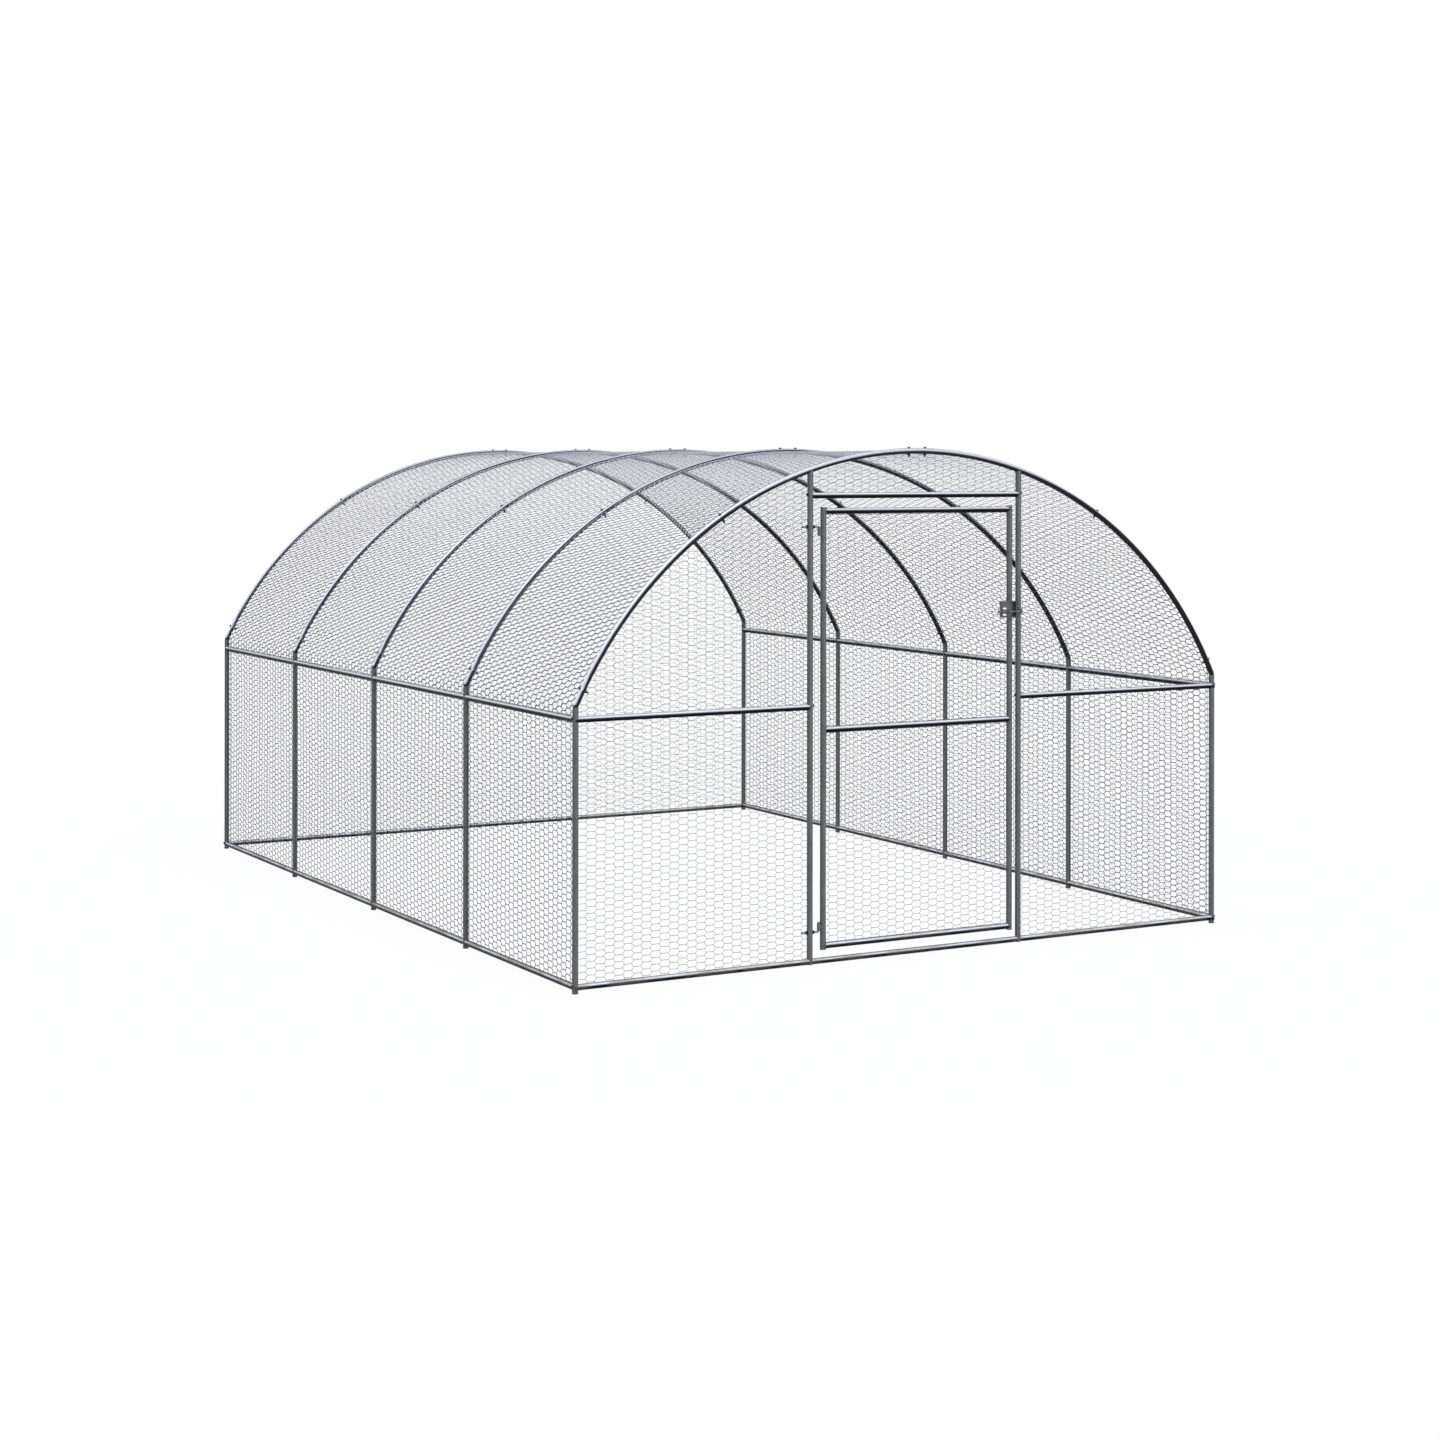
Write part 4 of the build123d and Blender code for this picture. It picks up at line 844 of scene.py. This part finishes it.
profile_t = np.concatenate([[0.0], np.cumsum(np.hypot(np.diff(profile_x), np.diff(profile_z)))])
profile_lean = np.unwrap(np.arctan2(np.gradient(profile_z), np.gradient(profile_x)))
ridge_t = profile_t[-1] / 2
print("roof profile", round(profile_t[-1], 3), "m long")


# %% Bend a net over the arches
def over_roof(points):
    """Lays net coordinates over the arch: s along the run, t over the roof, n inwards."""
    s, t, n = points.T
    lean = np.interp(t, profile_t, profile_lean)
    x = np.interp(t, profile_t, profile_x) + n * np.sin(lean)
    z = np.interp(t, profile_t, profile_z) - n * np.cos(lean)
    return np.stack([x, s, z], -1)


ridge_point = over_roof(np.array([[0.0, ridge_t, 0.0]]))[0]
print("the netting's ridge is", round(ridge_point[2], 4), "m up")

# %% [markdown]
# ### Wire on the roof
#
# The left slope's wire gets the darker tone and the painted glint, the right slope's a lighter tone, and the
# left slope's wire is a little stouter. A real roll has one thickness of wire, but here the wires thin out
# towards the ridge: netting seen edge on crowds its wires together, and wire as stout as at the eaves would
# close up into a sheet.

# %% Net the roof
WEATHER_WIRE_RADIUS = 0.0021
LEE_WIRE_RADIUS = 0.0016
RIDGE_WIRE_RADIUS = 0.0005
TAPER_LENGTH = 1.5


def roof_taper(t):
    """Wire radius over the roof: stout at the eaves, fine at the ridge."""
    eave_radius = np.where(t < ridge_t, WEATHER_WIRE_RADIUS, LEE_WIRE_RADIUS)
    from_ridge = np.clip(np.abs(t - ridge_t) / TAPER_LENGTH, 0.0, 1.0)
    return RIDGE_WIRE_RADIUS + (eave_radius - RIDGE_WIRE_RADIUS) * from_ridge


upper_width = arch_radius * arch_reach / 2
strips = {"left_lower": (EDGE_GAP, ridge_t - upper_width, ("high",)),
          "left_upper": (ridge_t - upper_width, ridge_t, ("low", "high")),
          "right_upper": (ridge_t, ridge_t + upper_width, ("low", "high")),
          "right_lower": (ridge_t + upper_width, profile_t[-1] - EDGE_GAP, ("low",))}
for strip, (t_low, t_high, seams) in strips.items():
    on_left = "left" in strip
    slope_wire = weather_wire if on_left else lee_wire
    eave_radius = WEATHER_WIRE_RADIUS if on_left else LEE_WIRE_RADIUS
    for half, bays in HALVES.items():
        fields = [(bay_limits(bay), (t_low, t_high)) for bay in bays]
        net_piece(f"roof_netting_{strip}_{half}", f"roof_nets_{strip}", "frame", over_roof, slope_wire,
                  fields, seams=seams, wire_radius=eave_radius, taper=roof_taper)
print("strips", {strip: round(t_high - t_low, 3) for strip, (t_low, t_high, _) in strips.items()})

# %% [markdown]
# ## Front, back and gable netting
#
# The ends are netted on the inner side of their tubes, with the twists level again. Above the
# mid rails the fields follow the arch, and a last small one fills the gable over the doorway.
# The back has no mid rail, so its three strips are seamed to each other.

# %% Net the front
ARCH_INSET = 0.0019
eave_height = middle("front_mid_rail_left").z
end_arc = (0.0, arch_centre, arch_radius - ARCH_INSET)


def in_end_plane(node):
    """Stands a net up in the plane of an end's node: s to the right, t up, n to the front."""
    low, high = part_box(node)
    plane_y = (low.y + high.y) / 2
    return lambda points: np.stack([points[:, 0], plane_y - points[:, 2], points[:, 1]], -1)


for side in ("left", "right"):
    node = f"front_nets_{side}"
    low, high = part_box(node)
    lower_field = ((low.x, high.x), (low.z, eave_height - EDGE_GAP))
    upper_field = ((low.x, high.x), (eave_height + EDGE_GAP, high.z))
    lay = in_end_plane(node)
    net_piece(f"front_netting_{side}_lower", node, "frame", lay, end_wire, [lower_field])
    net_piece(f"front_netting_{side}_upper", node, "frame", lay, end_wire, [upper_field], arc=end_arc)
print("front netting meets the mid rails", round(eave_height, 3), "m up")

# %% Net the back and the gable
low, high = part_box("back_nets")
half_height = (low.z + eave_height) / 2
back_strips = {"lower": (low.z, half_height, None, ("high",)),
               "middle": (half_height, eave_height, None, ("low", "high")),
               "upper": (eave_height, high.z, end_arc, ("low",))}
for strip, (t_low, t_high, arc, seams) in back_strips.items():
    field = ((low.x, high.x), (t_low, t_high))
    net_piece(f"back_netting_{strip}", "back_nets", "frame", in_end_plane("back_nets"), end_wire, [field],
              arc=arc, seams=seams)

low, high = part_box("gable_net")
field = ((low.x, high.x), (low.z, high.z))
net_piece("gable_netting", "gable_net", "frame", in_end_plane("gable_net"), end_wire, [field], arc=end_arc)
print("back strips:", list(back_strips), "and", pieces[-1].name)

# %% [markdown]
# ## Door netting
#
# The door leaf carries two fields of its own, above and below its middle rail. Netting woven
# with the front's would stay behind when the door opens, so these ride on the door.

# %% Net the door
low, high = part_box("door_nets")
rail_low, rail_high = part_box("door_middle_rail")
door_fields = [((low.x, high.x), (low.z, rail_low.z - EDGE_GAP)),
               ((low.x, high.x), (rail_high.z + EDGE_GAP, high.z))]
net_piece("door_netting", "door_nets", "door", in_end_plane("door_nets"), end_wire, door_fields)
print("netting pieces:", len(pieces), "faces:", sum(len(piece.data.polygons) for piece in pieces))

# %% [markdown]
# ## Weld beads
#
# The door is welded where its tubes meet, and so are the hinge sleeves, the latch tray and the
# keeper. A weld is a row of small frozen ripples, left as the pool of metal moves along the
# joint. A smooth fillet would look moulded, so each bead is swept along its joint with a width
# that swells at every ripple. Where one tube meets another of the same size, the joint is a
# curve that runs from the side of the stile round to its middle at the front and back.

# %% Sweep a bead
BEAD_RADIUS = 0.0021
BEAD_RIPPLE = 0.0042
BEAD_LIFT = 0.0005
RIPPLE_SWELL = 0.16
UNEVEN_SWELL = 0.12
UNEVEN_WAVES = 290.0
UNEVEN_START = 40.0
BEAD_SIDES = 6
MAP_ROW = 0.01
beads = {"door": Strands(), "frame": Strands()}


def bead(body, path, closed=False, off=(1.0, 0.0, 0.0)):
    """Sweeps a rippled bead along a path; off is any direction off the path."""
    along = np.concatenate([[0.0], np.cumsum(np.linalg.norm(np.diff(path, axis=0), axis=1))])
    ripple = RIPPLE_SWELL * np.sin(2 * pi * along / BEAD_RIPPLE)
    uneven = UNEVEN_SWELL * np.sin(UNEVEN_WAVES * along + UNEVEN_START * path[0, 2])
    radius = BEAD_RADIUS * (1.0 + ripple + uneven)
    row = MAP_ROW * len(beads[body].points)
    places = np.stack([along, np.full_like(along, row)], -1)
    beads[body].add(path, radius, BEAD_SIDES, closed, places, off)


# %% Bead the door's tubes and hinge sleeves
SLEEVE_LENGTH = 0.028
SLEEVE_BEAD_INSET = 0.003
SLEEVE_BEAD_OFFSET = 0.0038
SLEEVE_BEAD_POINTS = 40
JOINT_POINTS = 120
proud = tube_radius + BEAD_LIFT
around = 2 * pi * np.arange(JOINT_POINTS) / JOINT_POINTS
for stile, towards in (("door_hinge_stile", 1), ("door_latch_stile", -1)):
    loop = np.stack([towards * np.abs(np.sin(around)), np.cos(around), np.sin(around)], -1)
    for rail in ("door_bottom_rail", "door_middle_rail", "door_top_rail"):
        joint = Vector((middle(stile).x, middle(stile).y, middle(rail).z))
        bead("door", np.array(joint) + proud * loop, closed=True)

sleeve_low, sleeve_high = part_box("hinge_sleeves")
for foot in (sleeve_low.z, sleeve_high.z - SLEEVE_LENGTH):
    for side in (-1, 1):
        head = foot + SLEEVE_LENGTH
        z = np.linspace(foot + SLEEVE_BEAD_INSET, head - SLEEVE_BEAD_INSET, SLEEVE_BEAD_POINTS)
        x = np.full_like(z, sleeve_high.x)
        y = np.full_like(z, middle("hinge_sleeves").y + side * SLEEVE_BEAD_OFFSET)
        bead("door", np.stack([x, y, z], -1))
print("beads on the door's tubes and sleeves:", len(beads["door"].points))

# %% Bead the latch and its keeper
LATCH_BEAD_REACH = 0.005
LATCH_BEAD_POINTS = 16
KEEPER_BEAD_INSET = 0.001
KEEPER_BEAD_POINTS = 12


def bead_across(body, upright, x, node):
    """Beads a fitting to the front of an upright tube, along its lower and upper edges."""
    tube_middle = middle(upright)
    y = tube_middle.y - np.sqrt(proud**2 - (x - tube_middle.x) ** 2)
    low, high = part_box(node)
    for z in (low.z - BEAD_LIFT, high.z + BEAD_LIFT):
        bead(body, np.stack([x, y, np.full_like(x, z)], -1), off=(0.0, 0.0, 1.0))


stile_x = middle("door_latch_stile").x
latch_x = np.linspace(stile_x - LATCH_BEAD_REACH, stile_x + LATCH_BEAD_REACH, LATCH_BEAD_POINTS)
bead_across("door", "door_latch_stile", latch_x, "latch_housing")

keeper_low, keeper_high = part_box("latch_keeper")
keeper_start = keeper_low.x + KEEPER_BEAD_INSET
keeper_end = keeper_high.x - KEEPER_BEAD_INSET
keeper_x = np.linspace(keeper_start, keeper_end, KEEPER_BEAD_POINTS)
bead_across("frame", "door_post_right", keeper_x, "latch_keeper")

for body, strands in beads.items():
    weld = strands.piece(f"{body}_weld_beads", np.asarray, upright_zinc, "galvanised_tube", body)
    print(weld.name, len(weld.data.polygons), "faces")
